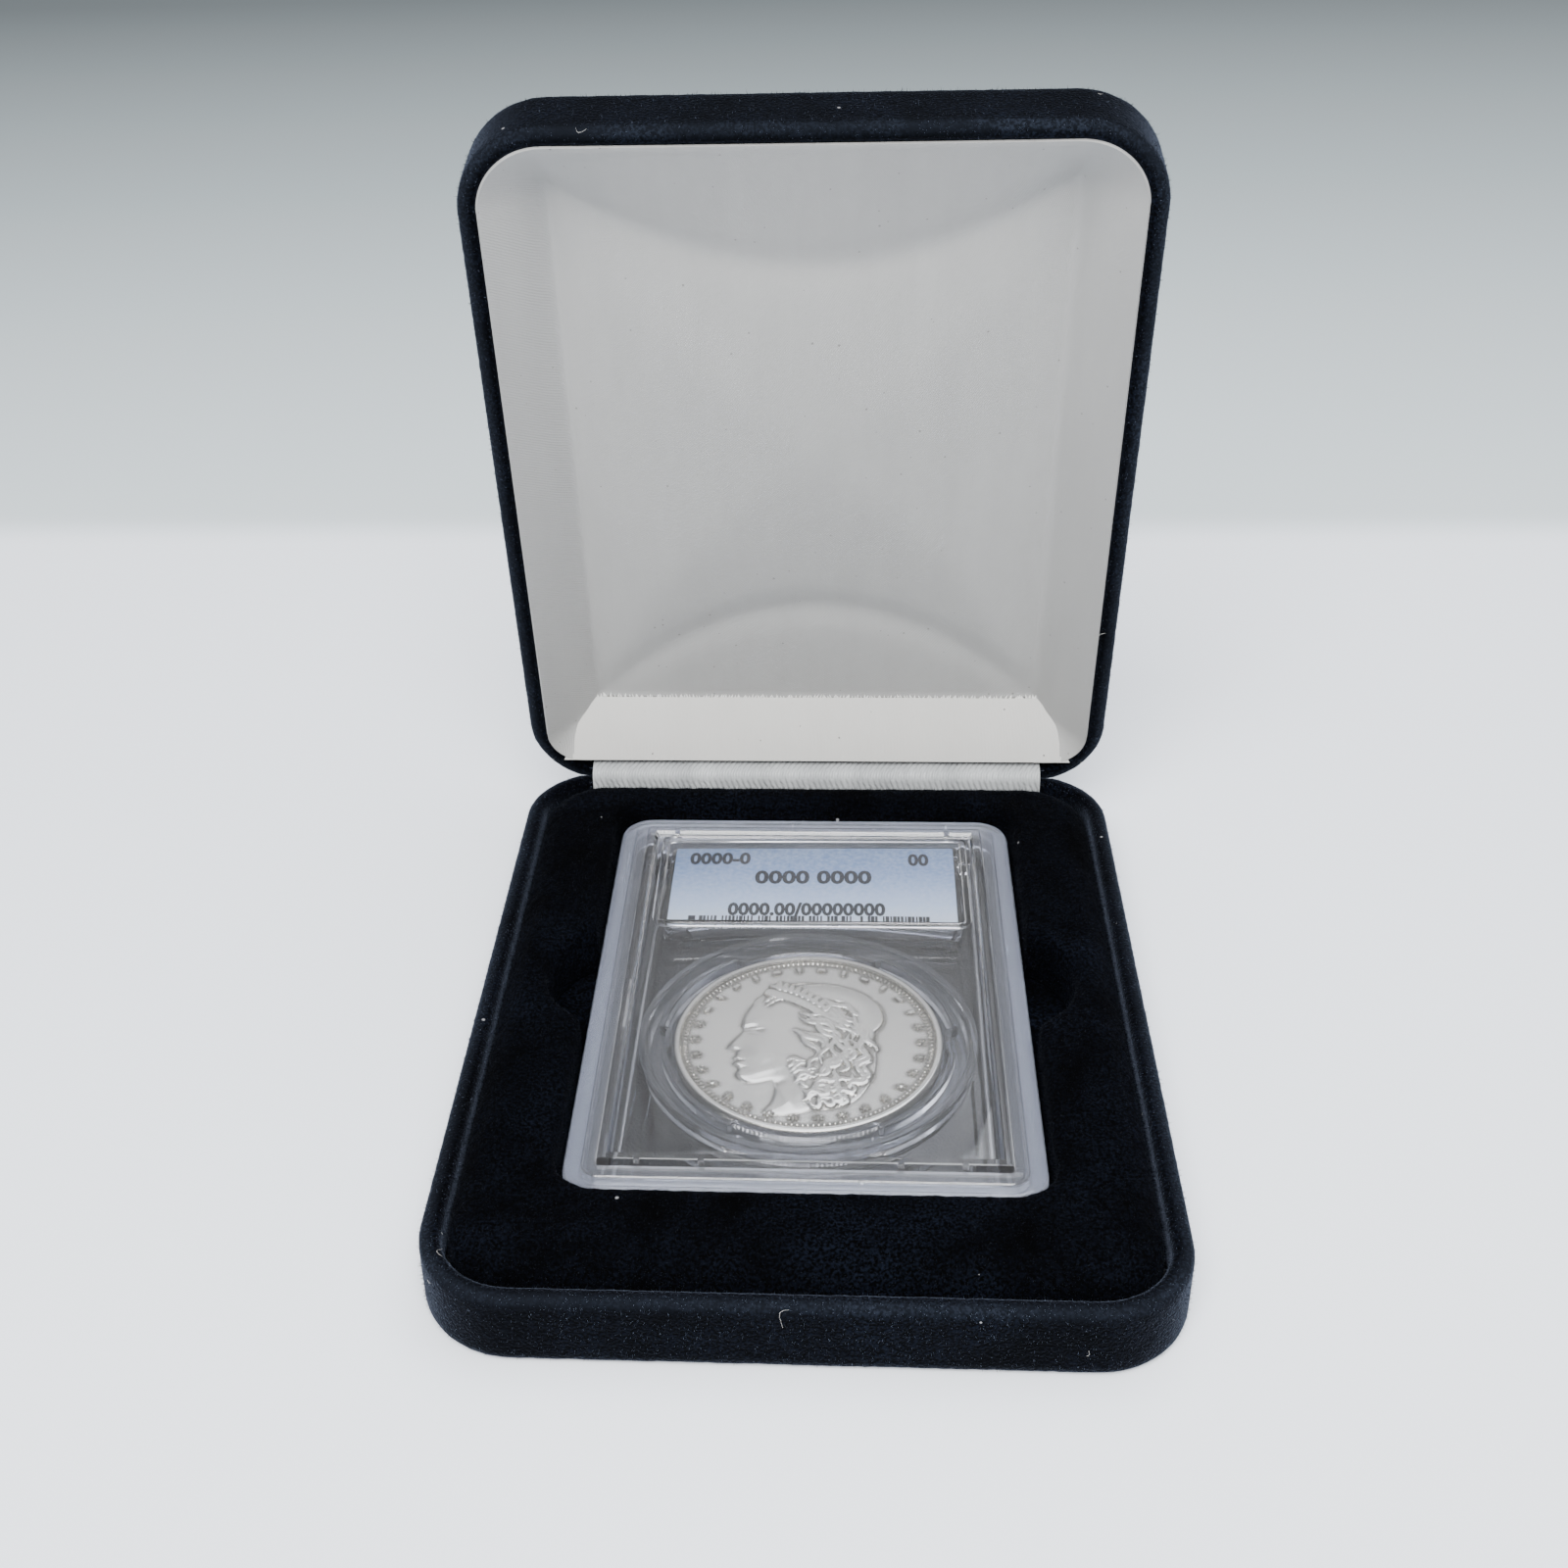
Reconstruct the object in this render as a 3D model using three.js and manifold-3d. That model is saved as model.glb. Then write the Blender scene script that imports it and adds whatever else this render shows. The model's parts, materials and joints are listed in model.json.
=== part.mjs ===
// A graded coin slab in its hinged velvet presentation case, lid open on its stop.
// Millimetres, +Z up. The origin is the centre of the case's underside, +Y runs to the hinge.
import * as THREE from "three";
import { mergeVertices } from "three/addons/utils/BufferGeometryUtils.js";
import Module from "manifold-3d";

const wasm = await Module();
wasm.setup();

// ---- driving dimensions ----
const sideBorder = 16.45; // case side to slab
const frontBorder = 18.7;
const backBorder = 14.3;
const baseHeight = 10.8;
const lidHeight = 11.5;
const cornerRadius = 12.6;
const openAngle = 78; // degrees from shut to the hinge's stop
const partingGap = 0.4; // between the two rims when shut

const velvetSkin = 0.8;
const shellWall = 1.0;
const fitGap = 0.1; // between glued or nested layers
const baseEdgeRadius = 1.8;
const lidEdgeRadius = 2.4;
const rimRadius = 1.1;
const flapLength = 5.5; // velvet turned in over the rim

const boardThickness = 1.0;
const insertHeight = 13; // top of the padded insert above the table
const insertSideGap = 0.4; // groove between the insert and the rim
const insertBackGap = 2.9; // wider at the back, for the hinge
const insertFrontGap = 0.5;
const shoulderWidth = 4.6;
const shoulderDrop = 3.2;
const insertSkin = 0.8;

const slabSideMargin = 7.45; // slab side to the coin's ring
const slabBottomMargin = 7.4;
const slabTopMargin = 7; // slab top to the label
const slabThickness = 8;
const slabCorner = 5;
const slabWall = 2.5;
const ridgeInset = 4.3; // stacking ridge in from the slab's edge
const ridgeWidth = 1.9;
const ridgeDraft = 0.4;
const flangeSink = 1.1; // flange and window below the ridge's top
const windowSink = 0.8;
const windowThickness = 1.1;
const slabPlay = 0.75; // recess wall to slab, all round
const slabLedge = 0.1; // slab above the recess floor
const notchRadius = 11.8;
const notchLand = 1.75; // flat velvet between a finger notch and the shoulder
const recessSkin = 0.6;

const coinRadius = 19.05;
const coinThickness = 2.4;
const coinRingRadius = 23.8;
const coinPlay = 0.2;
const coinSeat = 0.75; // ledge under the coin's rim
const labelWidth = 44.7;
const labelHeight = 20.2;
const labelThickness = 0.3;
const labelRingGap = 3.8;
const labelClearance = 0.95; // label to the bezel round it
const labelBezel = 1.1;
const labelShelfRise = 0.8; // shelf above the slab's weld line
const stickerSize = 20;
const stickerThickness = 0.3;

const hingeInset = 2.0; // hinge axis in from the back face
const hingeLength = 69;
const ribbonLength = 75.4;
const pinRadius = 0.6;
const pinPlay = 0.12;
const knuckleRadius = 1.3;
const leafThickness = 0.5;
const leafDrop = 5.4; // leaf below the rim
const knuckleGap = 0.4;
const ribbonThickness = 0.4;
const rivetX = 28;

const liningMouthGap = 0.1;
const liningHingeSetback = 5.2; // lining edge in from the back face, over the hinge
const liningDepth = 7.6; // rim plane to the crease
const liningSlope = 8.1; // how far the walls lean in over that depth
const liningHingeSlope = 7.6;
const liningCard = 0.6;
const liningPadThickness = 1.3; // at the crease, all round
const liningPadCrown = 2.4; // how much higher the padding stands in the middle
const mitreGap = 0.3;

// ---- values that follow from them ----
const wall = 2 * velvetSkin + shellWall + 2 * fitGap;
const shellInset = velvetSkin + fitGap;
const shellInner = shellInset + shellWall;
const slabWidth = 2 * (coinRingRadius + slabSideMargin);
const slabLength =
  slabBottomMargin + 2 * coinRingRadius + labelRingGap + labelHeight + slabTopMargin;
const coinOffsetY = slabBottomMargin + coinRingRadius - slabLength / 2;
const labelOffsetY = slabLength / 2 - slabTopMargin - labelHeight / 2;
const caseWidth = slabWidth + 2 * sideBorder;
const caseDepth = slabLength + frontBorder + backBorder;
const slabCentreY = (frontBorder - backBorder) / 2;
const notchReach = sideBorder - wall - insertSideGap - shoulderWidth - notchLand;
const halfWidth = caseWidth / 2;
const halfDepth = caseDepth / 2;
const hingeY = halfDepth - hingeInset;
const hingeZ = baseHeight + partingGap / 2;
const boardZ = shellInner + fitGap;
const insertZ = boardZ + boardThickness + fitGap;
const slabZ = insertZ + recessSkin + slabLedge;

const cornerSteps = 6;
const roundSteps = 48;

// ---- outlines ----
// One corner of an outline: an arc about (x, y), with the same count of points whatever its radius.
function cornerArc(x, y, radius, fromDegrees, toDegrees) {
  return Array.from({ length: cornerSteps + 1 }, (_, i) => {
    const a = THREE.MathUtils.degToRad(
      fromDegrees + ((toDegrees - fromDegrees) * i) / cornerSteps,
    );
    return new THREE.Vector2(x + radius * Math.cos(a), y + radius * Math.sin(a));
  });
}

// A rounded rectangle, anticlockwise from its front right corner.
function roundedRect(left, right, front, back, radius) {
  const r = Math.max(radius, 0.05);
  return [
    ...cornerArc(right - r, front + r, r, -90, 0),
    ...cornerArc(right - r, back - r, r, 0, 90),
    ...cornerArc(left + r, back - r, r, 90, 180),
    ...cornerArc(left + r, front + r, r, 180, 270),
  ];
}

function centredRect(width, depth, radius, inset = 0, centreY = 0) {
  return roundedRect(
    inset - width / 2,
    width / 2 - inset,
    centreY - depth / 2 + inset,
    centreY + depth / 2 - inset,
    radius - inset,
  );
}

const caseOutline = (inset) => centredRect(caseWidth, caseDepth, cornerRadius, inset);

// ---- solids ----
function meshGeometry(positions, indices) {
  const geometry = new THREE.BufferGeometry();
  geometry.setAttribute("position", new THREE.Float32BufferAttribute(positions, 3));
  geometry.setIndex(indices);
  geometry.computeVertexNormals();
  return geometry;
}

// Joins outlines of equal point count, level by level. It is capped at both ends,
// or with closed set its last level joins the first, as in a frame.
function loft(levels, closed = false) {
  const count = levels[0].points.length;
  const positions = levels.flatMap(({ points, z }) => points.flatMap((p) => [p.x, p.y, z]));
  const indices = [];
  const bands = closed ? levels.length : levels.length - 1;
  for (let k = 0; k < bands; k++) {
    const low = k * count;
    const high = ((k + 1) % levels.length) * count;
    for (let i = 0; i < count; i++) {
      const j = (i + 1) % count;
      indices.push(low + i, low + j, high + j, low + i, high + j, high + i);
    }
  }
  if (!closed) {
    const lastLow = (levels.length - 1) * count;
    for (const [a, b, c] of THREE.ShapeUtils.triangulateShape(levels[0].points, [])) {
      indices.push(c, b, a);
    }
    for (const [a, b, c] of THREE.ShapeUtils.triangulateShape(levels.at(-1).points, [])) {
      indices.push(lastLow + a, lastLow + b, lastLow + c);
    }
  }
  return meshGeometry(positions, indices);
}

// A quarter turn of a cross-section, as {inset, z} steps about (inset, z).
function sectionArc(inset, z, radiusInset, radiusZ, fromDegrees, toDegrees, steps = 3) {
  return Array.from({ length: steps + 1 }, (_, i) => {
    const a = THREE.MathUtils.degToRad(fromDegrees + ((toDegrees - fromDegrees) * i) / steps);
    return { inset: inset - radiusInset * Math.cos(a), z: z + radiusZ * Math.sin(a) };
  });
}

const levelsOf = (section, outlineAt) =>
  section.map(({ inset, z }) => ({ points: outlineAt(inset), z }));

function extruded(points, bottom, top) {
  const geometry = new THREE.ExtrudeGeometry(new THREE.Shape(points), {
    depth: top - bottom,
    bevelEnabled: false,
  });
  return geometry.translate(0, 0, bottom);
}

function box(x0, x1, y0, y1, z0, z1) {
  const geometry = new THREE.BoxGeometry(x1 - x0, y1 - y0, z1 - z0);
  return geometry.translate((x0 + x1) / 2, (y0 + y1) / 2, (z0 + z1) / 2);
}

function uprightCylinder(radius, x, y, z0, z1, steps = roundSteps) {
  const geometry = new THREE.CylinderGeometry(radius, radius, z1 - z0, steps);
  return geometry.rotateX(Math.PI / 2).translate(x, y, (z0 + z1) / 2);
}

function cylinderAlongX(radius, x0, x1, y, z, steps) {
  const geometry = new THREE.CylinderGeometry(radius, radius, x1 - x0, steps);
  return geometry.rotateZ(Math.PI / 2).translate((x0 + x1) / 2, y, z);
}

// ---- booleans ----
function toSolid(geometry) {
  const bare = geometry.clone();
  bare.deleteAttribute("normal");
  bare.deleteAttribute("uv");
  const merged = mergeVertices(bare, 1e-4);
  return new wasm.Manifold(
    new wasm.Mesh({
      numProp: 3,
      vertProperties: new Float32Array(merged.attributes.position.array),
      triVerts: new Uint32Array(merged.index.array),
    }),
  );
}

function fromSolid(solid) {
  const mesh = solid.getMesh();
  return meshGeometry(Array.from(mesh.vertProperties), Array.from(mesh.triVerts));
}

const less = (geometry, ...cuts) =>
  fromSolid(cuts.reduce((s, c) => s.subtract(toSolid(c)), toSolid(geometry)));
const joined = (geometry, ...adds) =>
  fromSolid(adds.reduce((s, a) => s.add(toSolid(a)), toSolid(geometry)));
const common = (a, b) => fromSolid(toSolid(a).intersect(toSolid(b)));

// ---- materials ----
const material = (colour, roughness, metalness = 0, opacity = 1) =>
  new THREE.MeshStandardMaterial({
    color: colour,
    roughness,
    metalness,
    opacity,
    transparent: opacity < 1,
  });
const velvet = material(0x0c0d12, 0.95);
const shellPlastic = material(0x2a2c30, 0.6);
const card = material(0xb9b2a4, 0.85);
const foam = material(0x3a3b40, 0.95);
const satin = material(0xd2d0cc, 0.5);
const steel = material(0xb8bbc0, 0.3, 1);
const clearPlastic = material(0xdfe4ee, 0.08, 0, 0.3);
const silver = material(0xd6d3c8, 0.25, 1);
const labelPaper = material(0xb7cbe8, 0.6);
const foil = material(0xc9ccd4, 0.2, 1);

function place(parent, name, geometry, surface) {
  const mesh = new THREE.Mesh(geometry, surface);
  mesh.name = name;
  parent.add(mesh);
  return mesh;
}

// ---- the two half cases: each a tray with its floor at z = 0 and its rim at z = height ----
// Both rims are relieved at the back, so that they clear each other as the lid swings.
function backRelief(height) {
  const axisZ = height + partingGap / 2;
  const reach = hingeInset + 1;
  const reliefSlope = Math.tan(THREE.MathUtils.degToRad(openAngle / 2 + 3));
  const wedge = new THREE.Shape([
    new THREE.Vector2(hingeY, axisZ),
    new THREE.Vector2(hingeY + reach, axisZ - reach * reliefSlope),
    new THREE.Vector2(hingeY + reach, axisZ + 1),
    new THREE.Vector2(hingeY, axisZ + 1),
  ]);
  const bevel = new THREE.ExtrudeGeometry(wedge, { depth: caseWidth, bevelEnabled: false });
  bevel.rotateX(Math.PI / 2).rotateZ(Math.PI / 2).translate(-halfWidth, 0, 0);
  const pocketHalf = ribbonLength / 2 + 0.7;
  const pocketZ = axisZ - hingeInset * reliefSlope;
  const pocketY = hingeY - knuckleRadius - knuckleGap;
  const pocket = box(-pocketHalf, pocketHalf, pocketY, halfDepth + 1, pocketZ, axisZ + 1);
  return [bevel, pocket];
}

function velvetCover(height, edgeRadius) {
  const lining = velvetSkin;
  const section = [
    ...sectionArc(edgeRadius, edgeRadius, edgeRadius, edgeRadius, -90, 0),
    ...sectionArc(rimRadius, height - rimRadius, rimRadius, rimRadius, 0, 90),
    ...sectionArc(wall - velvetSkin, height - velvetSkin, -velvetSkin, velvetSkin, 90, 0),
    { inset: wall, z: height - flapLength },
    { inset: wall - velvetSkin, z: height - flapLength },
    { inset: wall - velvetSkin, z: height - velvetSkin },
    { inset: lining, z: height - velvetSkin },
    ...sectionArc(edgeRadius, edgeRadius, edgeRadius - lining, edgeRadius - lining, 0, -90),
  ];
  const flapPocket = box(
    -ribbonLength / 2 - 0.7,
    ribbonLength / 2 + 0.7,
    halfDepth - wall - 1,
    halfDepth - wall + velvetSkin + fitGap / 2,
    height - flapLength - 1,
    height + 1,
  );
  return less(loft(levelsOf(section, caseOutline)), ...backRelief(height), flapPocket);
}

function rivetHole(x, height) {
  const hole = new THREE.CylinderGeometry(1.05, 1.05, 6, 16);
  return hole.translate(x, hingeY, height - leafDrop / 2 - 1);
}

function caseShell(height, edgeRadius) {
  const outer = edgeRadius - shellInset;
  const section = [
    ...sectionArc(edgeRadius, edgeRadius, outer, outer, -90, 0, 2),
    { inset: shellInset, z: height - shellInset },
    { inset: shellInner, z: height - shellInset },
    { inset: shellInner, z: edgeRadius },
    { inset: edgeRadius + 0.4, z: shellInner },
  ];
  return less(
    loft(levelsOf(section, caseOutline)),
    ...backRelief(height),
    rivetHole(-rivetX, height),
    rivetHole(rivetX, height),
  );
}

// A stamped leaf against the back wall with its knuckles round the hinge axis.
function hingeLeaf(height, knuckles) {
  const axisZ = height + partingGap / 2;
  const leafBack = halfDepth - shellInner - fitGap;
  const leafFront = leafBack - leafThickness;
  const half = hingeLength / 2;
  const plateTop = axisZ - knuckleRadius - knuckleGap;
  const plate = box(-half, half, leafFront, leafBack, height - leafDrop, plateTop);
  const parts = knuckles.flatMap(([x0, x1]) => [
    cylinderAlongX(knuckleRadius, x0, x1, hingeY, axisZ, 20),
    box(x0, x1, leafFront, leafBack, plateTop - 0.2, axisZ - pinRadius - pinPlay),
  ]);
  return less(
    joined(plate, ...parts),
    cylinderAlongX(pinRadius + pinPlay, -half - 1, half + 1, hingeY, axisZ, 20),
    rivetHole(-rivetX, height),
    rivetHole(rivetX, height),
  );
}

// Head on the leaf's inner face, shank through the leaf and the shell wall.
function rivet(x, height) {
  const headFace = halfDepth - shellInner - fitGap - leafThickness - fitGap;
  const shankEnd = halfDepth - shellInset - fitGap;
  const profile = [
    new THREE.Vector2(0, 0),
    new THREE.Vector2(1.2, 0),
    new THREE.Vector2(1.6, 0.25),
    new THREE.Vector2(1.6, 0.4),
    new THREE.Vector2(0.9, 0.4),
    new THREE.Vector2(0.9, 0.4 + shankEnd - headFace),
    new THREE.Vector2(0, 0.4 + shankEnd - headFace),
  ];
  const geometry = new THREE.LatheGeometry(profile, 16);
  return geometry.translate(x, headFace - 0.4, height - leafDrop / 2 - 1);
}

function knuckleSpans() {
  const count = 5;
  const pitch = hingeLength / count;
  const spans = Array.from({ length: count }, (_, i) => [
    -hingeLength / 2 + i * pitch + (i ? knuckleGap / 2 : 0),
    -hingeLength / 2 + (i + 1) * pitch - (i < count - 1 ? knuckleGap / 2 : 0),
  ]);
  return { base: spans.filter((_, i) => i % 2 === 0), lid: spans.filter((_, i) => i % 2) };
}

// ---- the padded insert with its recess and finger notches ----
function insertOutline(inset) {
  return roundedRect(
    -halfWidth + wall + insertSideGap + inset,
    halfWidth - wall - insertSideGap - inset,
    -halfDepth + wall + insertFrontGap + inset,
    halfDepth - wall - insertBackGap - inset,
    cornerRadius - wall - inset,
  );
}

function insertBody(inset, bottom) {
  const top = insertHeight - inset;
  const section = [
    { inset, z: bottom },
    ...sectionArc(
      shoulderWidth,
      insertHeight - shoulderDrop,
      shoulderWidth - inset,
      shoulderDrop - inset,
      0,
      90,
      5,
    ),
  ];
  section.at(-1).z = top;
  return loft(levelsOf(section, insertOutline));
}

// The recess for the slab with a round finger notch on each side, grown outward by grow.
function recess(grow, bottom, top) {
  const width = slabWidth + 2 * (slabPlay + grow);
  const depth = slabLength + 2 * (slabPlay + grow);
  const pocket = centredRect(width, depth, slabCorner + slabPlay + grow, 0, slabCentreY);
  const notchX = slabWidth / 2 + notchReach - notchRadius;
  return joined(
    extruded(pocket, bottom, top),
    ...[-notchX, notchX].map((x) =>
      uprightCylinder(notchRadius + grow, x, slabCentreY, bottom, top),
    ),
  );
}

function insertVelvet() {
  const above = insertHeight + 1;
  const hollow = less(
    insertBody(insertSkin, insertZ - 1),
    recess(insertSkin, insertZ - 2, above),
  );
  return less(insertBody(0, insertZ), recess(0, insertZ - 1, above), hollow);
}

function insertFoam() {
  const inner = insertSkin + fitGap;
  return less(insertBody(inner, insertZ), recess(inner, insertZ - 1, insertHeight + 1));
}

// ---- the lid's satin lining ----
// The lining's edge at the rim: rounded with the case, cut straight across in front of the hinge.
function liningMouth(inset) {
  const edge = wall + liningMouthGap + inset;
  const radius = cornerRadius - edge;
  const side = halfWidth - cornerRadius;
  const front = -halfDepth + cornerRadius;
  const back = halfDepth - cornerRadius;
  const cutY = halfDepth - liningHingeSetback - inset;
  const cut = THREE.MathUtils.radToDeg(Math.asin(Math.min((cutY - back) / radius, 1)));
  return [
    ...cornerArc(side, front, radius, -90, 0),
    ...cornerArc(side, back, radius, 0, cut),
    ...cornerArc(-side, back, radius, 180 - cut, 180),
    ...cornerArc(-side, front, radius, 180, 270),
  ];
}

const creaseSide = halfWidth - wall - liningMouthGap - liningSlope;
const creaseFront = -halfDepth + wall + liningMouthGap + liningSlope;
const creaseBack = halfDepth - liningHingeSetback - liningHingeSlope;

function liningCrease(grow) {
  return roundedRect(
    -creaseSide - grow,
    creaseSide + grow,
    creaseFront - grow,
    creaseBack + grow,
    0.6 + grow,
  );
}

// All four sloped walls as one frame, which the mitres then part.
function liningFrame() {
  const mouthZ = lidHeight - 0.2;
  const creaseZ = lidHeight - liningDepth;
  return loft(
    [
      { points: liningMouth(0), z: mouthZ },
      { points: liningMouth(liningCard), z: mouthZ },
      { points: liningCrease(0), z: creaseZ },
      { points: liningCrease(liningCard), z: creaseZ - liningCard / 2 },
    ],
    true,
  );
}

// Plan of one wall's share: between the mitre lines through its two crease corners.
function mitrePlan(side) {
  const hingeCorner = new THREE.Vector2(liningMouth(0)[2 * cornerSteps + 1].x, 0);
  hingeCorner.y = halfDepth - liningHingeSetback;
  const frontCorner = liningMouth(0)[cornerSteps / 2];
  const back = new THREE.Vector2(creaseSide, creaseBack);
  const front = new THREE.Vector2(creaseSide, creaseFront);
  const outBack = back.clone().lerp(hingeCorner, 3);
  const outFront = front.clone().lerp(frontCorner, 3);
  const inBack = back.clone().lerp(hingeCorner, -0.5);
  const inFront = front.clone().lerp(frontCorner, -0.5);
  const flip = (p) => new THREE.Vector2(-p.x, p.y);
  const shift = (p, dx, dy) => new THREE.Vector2(p.x + dx, p.y + dy);
  const g = mitreGap / 2;
  const plans = {
    right: [inFront, outFront, outBack, inBack].map((p) => shift(p, g, 0)),
    left: [inBack, outBack, outFront, inFront].map((p) => shift(flip(p), -g, 0)),
    hinge: [inBack, outBack, flip(outBack), flip(inBack)].map((p) => shift(p, 0, g)),
    front: [flip(inFront), flip(outFront), outFront, inFront].map((p) => shift(p, 0, -g)),
  };
  return plans[side];
}

const liningWall = (side) => common(liningFrame(), extruded(mitrePlan(side), -1, lidHeight + 1));

// Crowned padding: its four sides rise from the crease to a small flat in the middle.
function liningPad() {
  const edge = lidHeight - liningDepth;
  const middle = Math.min(creaseSide, (creaseBack - creaseFront) / 2) - 3;
  const rise = (share) => ({
    inset: share * middle,
    z: edge + liningPadCrown * Math.sin((share * Math.PI) / 2),
  });
  const section = [
    { inset: 0.5, z: edge - liningPadThickness },
    { inset: 0, z: edge - liningPadThickness + 0.3 },
    ...[0, 0.25, 0.5, 0.75, 1].map(rise),
  ];
  return loft(levelsOf(section, (inset) => liningCrease(-inset - 0.2)));
}

function liningBoard() {
  const overlap = 4; // board past the crease, under the walls
  const top = lidHeight - liningDepth - liningPadThickness - fitGap;
  const outline = roundedRect(
    -creaseSide - overlap,
    creaseSide + overlap,
    creaseFront - overlap,
    creaseBack + overlap,
    overlap,
  );
  return extruded(outline, shellInner + fitGap, top);
}

// ---- the slab ----
// Half of the slab as a tray: stacking ridge round a sunk window, weld face at z = half.
const slabHalf = slabThickness / 2 - fitGap;
const slabFloor = windowSink + windowThickness; // inner face of each window
const slabOutline = (inset) => centredRect(slabWidth, slabLength, slabCorner, inset);

function slabTray() {
  const ridgeEnd = ridgeInset + ridgeWidth;
  const section = [
    { inset: ridgeEnd, z: windowSink },
    { inset: ridgeEnd - ridgeDraft, z: 0 },
    { inset: ridgeInset + ridgeDraft, z: 0 },
    { inset: ridgeInset, z: flangeSink - 0.2 },
    { inset: 1.1, z: flangeSink },
    { inset: 0.3, z: flangeSink + 0.5 },
    { inset: 0, z: flangeSink + 1.3 },
    { inset: 0, z: slabHalf },
    { inset: slabWall - 0.3, z: slabHalf },
    { inset: slabWall, z: slabFloor },
  ];
  return loft(levelsOf(section, slabOutline));
}

// A block about the label, past its edges by margin.
const aboutLabel = (margin, bottom, top) =>
  box(
    -labelWidth / 2 - margin,
    labelWidth / 2 + margin,
    labelOffsetY - labelHeight / 2 - margin,
    labelOffsetY + labelHeight / 2 + margin,
    bottom,
    top,
  );

function slabBackShell() {
  const shelf = aboutLabel(labelClearance, slabFloor - 0.4, slabHalf + labelShelfRise);
  return joined(slabTray(), shelf);
}

function slabFrontShell() {
  const bezel = less(
    aboutLabel(labelClearance + labelBezel, slabFloor - 0.4, slabFloor + 0.7),
    aboutLabel(labelClearance, slabFloor, slabFloor + 1),
  );
  return joined(slabTray(), bezel);
}

function coinRing() {
  const bottom = slabFloor + fitGap;
  const top = slabThickness - slabFloor - fitGap;
  const seat = bottom + coinSeat;
  const bore = coinRadius + coinPlay;
  const profile = [
    new THREE.Vector2(bore - 1, bottom),
    new THREE.Vector2(coinRingRadius, bottom),
    new THREE.Vector2(coinRingRadius, top - 0.5),
    new THREE.Vector2(coinRingRadius - 0.5, top),
    new THREE.Vector2(bore + 0.6, top),
    new THREE.Vector2(bore, top - 0.6),
    new THREE.Vector2(bore, seat),
    new THREE.Vector2(bore - 1, seat),
    new THREE.Vector2(bore - 1, bottom),
  ];
  const ring = new THREE.LatheGeometry(profile, roundSteps).rotateX(Math.PI / 2);
  const tabX = (bore + coinRingRadius) / 2;
  const tabCut = (side) => box(side * tabX - 1, side * tabX + 1, -0.9, 0.9, top - 1.4, top + 1);
  return less(ring, tabCut(-1), tabCut(1)).translate(0, coinOffsetY, 0);
}

function coin() {
  const bottom = slabFloor + 2 * fitGap + coinSeat;
  const top = bottom + coinThickness;
  const rimWidth = 1.1;
  const rimRise = 0.3;
  const field = coinRadius - rimWidth;
  const profile = [
    new THREE.Vector2(0, bottom + rimRise),
    new THREE.Vector2(field - 0.2, bottom + rimRise),
    new THREE.Vector2(field, bottom),
    new THREE.Vector2(coinRadius - 0.15, bottom),
    new THREE.Vector2(coinRadius, bottom + 0.15),
    new THREE.Vector2(coinRadius, top - 0.15),
    new THREE.Vector2(coinRadius - 0.15, top),
    new THREE.Vector2(field, top),
    new THREE.Vector2(field - 0.2, top - rimRise),
    new THREE.Vector2(0, top - rimRise),
  ];
  const disc = new THREE.LatheGeometry(profile, roundSteps);
  return disc.rotateX(Math.PI / 2).translate(0, coinOffsetY, 0);
}

function gradeLabel() {
  const bottom = slabHalf + labelShelfRise + fitGap;
  return aboutLabel(0, bottom, bottom + labelThickness);
}

function backSticker() {
  const centreY = slabLength / 2 - slabTopMargin - stickerSize / 2;
  const outline = centredRect(stickerSize, stickerSize, 1.5, 0, centreY);
  return extruded(outline, windowSink - fitGap - stickerThickness, windowSink - fitGap);
}

// ---- assembly ----
const coinCase = new THREE.Group();

const base = new THREE.Group();
coinCase.add(base);
const knuckles = knuckleSpans();
place(base, "base_velvet_cover", velvetCover(baseHeight, baseEdgeRadius), velvet);
place(base, "base_shell", caseShell(baseHeight, baseEdgeRadius), shellPlastic);
place(
  base,
  "insert_board",
  extruded(insertOutline(0.3), boardZ, boardZ + boardThickness),
  card,
);
place(base, "insert_foam", insertFoam(), foam);
place(base, "insert_velvet", insertVelvet(), velvet);
place(base, "recess_floor", recess(-0.2, insertZ, insertZ + recessSkin), velvet);
place(base, "hinge_leaf_base", hingeLeaf(baseHeight, knuckles.base), steel);
place(
  base,
  "hinge_pin",
  cylinderAlongX(pinRadius, -hingeLength / 2, hingeLength / 2, hingeY, hingeZ, 16),
  steel,
);
place(base, "hinge_rivet_base_left", rivet(-rivetX, baseHeight), steel);
place(base, "hinge_rivet_base_right", rivet(rivetX, baseHeight), steel);

// An arched strip whose ends bear on the base leaf and whose back carries the snap.
function snapSpring() {
  const face = halfDepth - shellInner - fitGap - leafThickness - 0.2;
  const half = 14;
  const rise = 0.45;
  const thick = 0.25;
  const bow = new THREE.Shape();
  bow.moveTo(-half, face);
  bow.quadraticCurveTo(0, face - 2 * rise, half, face);
  bow.lineTo(half, face - thick);
  bow.quadraticCurveTo(0, face - 2 * rise - thick, -half, face - thick);
  const strip = new THREE.ExtrudeGeometry(bow, {
    depth: 3.4,
    bevelEnabled: false,
    curveSegments: 8,
  });
  return strip.translate(0, 0, baseHeight - leafDrop + 0.3);
}
place(base, "snap_spring", snapSpring(), steel);

const ribbonBack = hingeY - knuckleRadius - knuckleGap;
place(
  base,
  "hinge_ribbon",
  box(
    -ribbonLength / 2,
    ribbonLength / 2,
    ribbonBack - ribbonThickness,
    ribbonBack,
    baseHeight - leafDrop,
    hingeZ + 1,
  ),
  satin,
);

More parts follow.
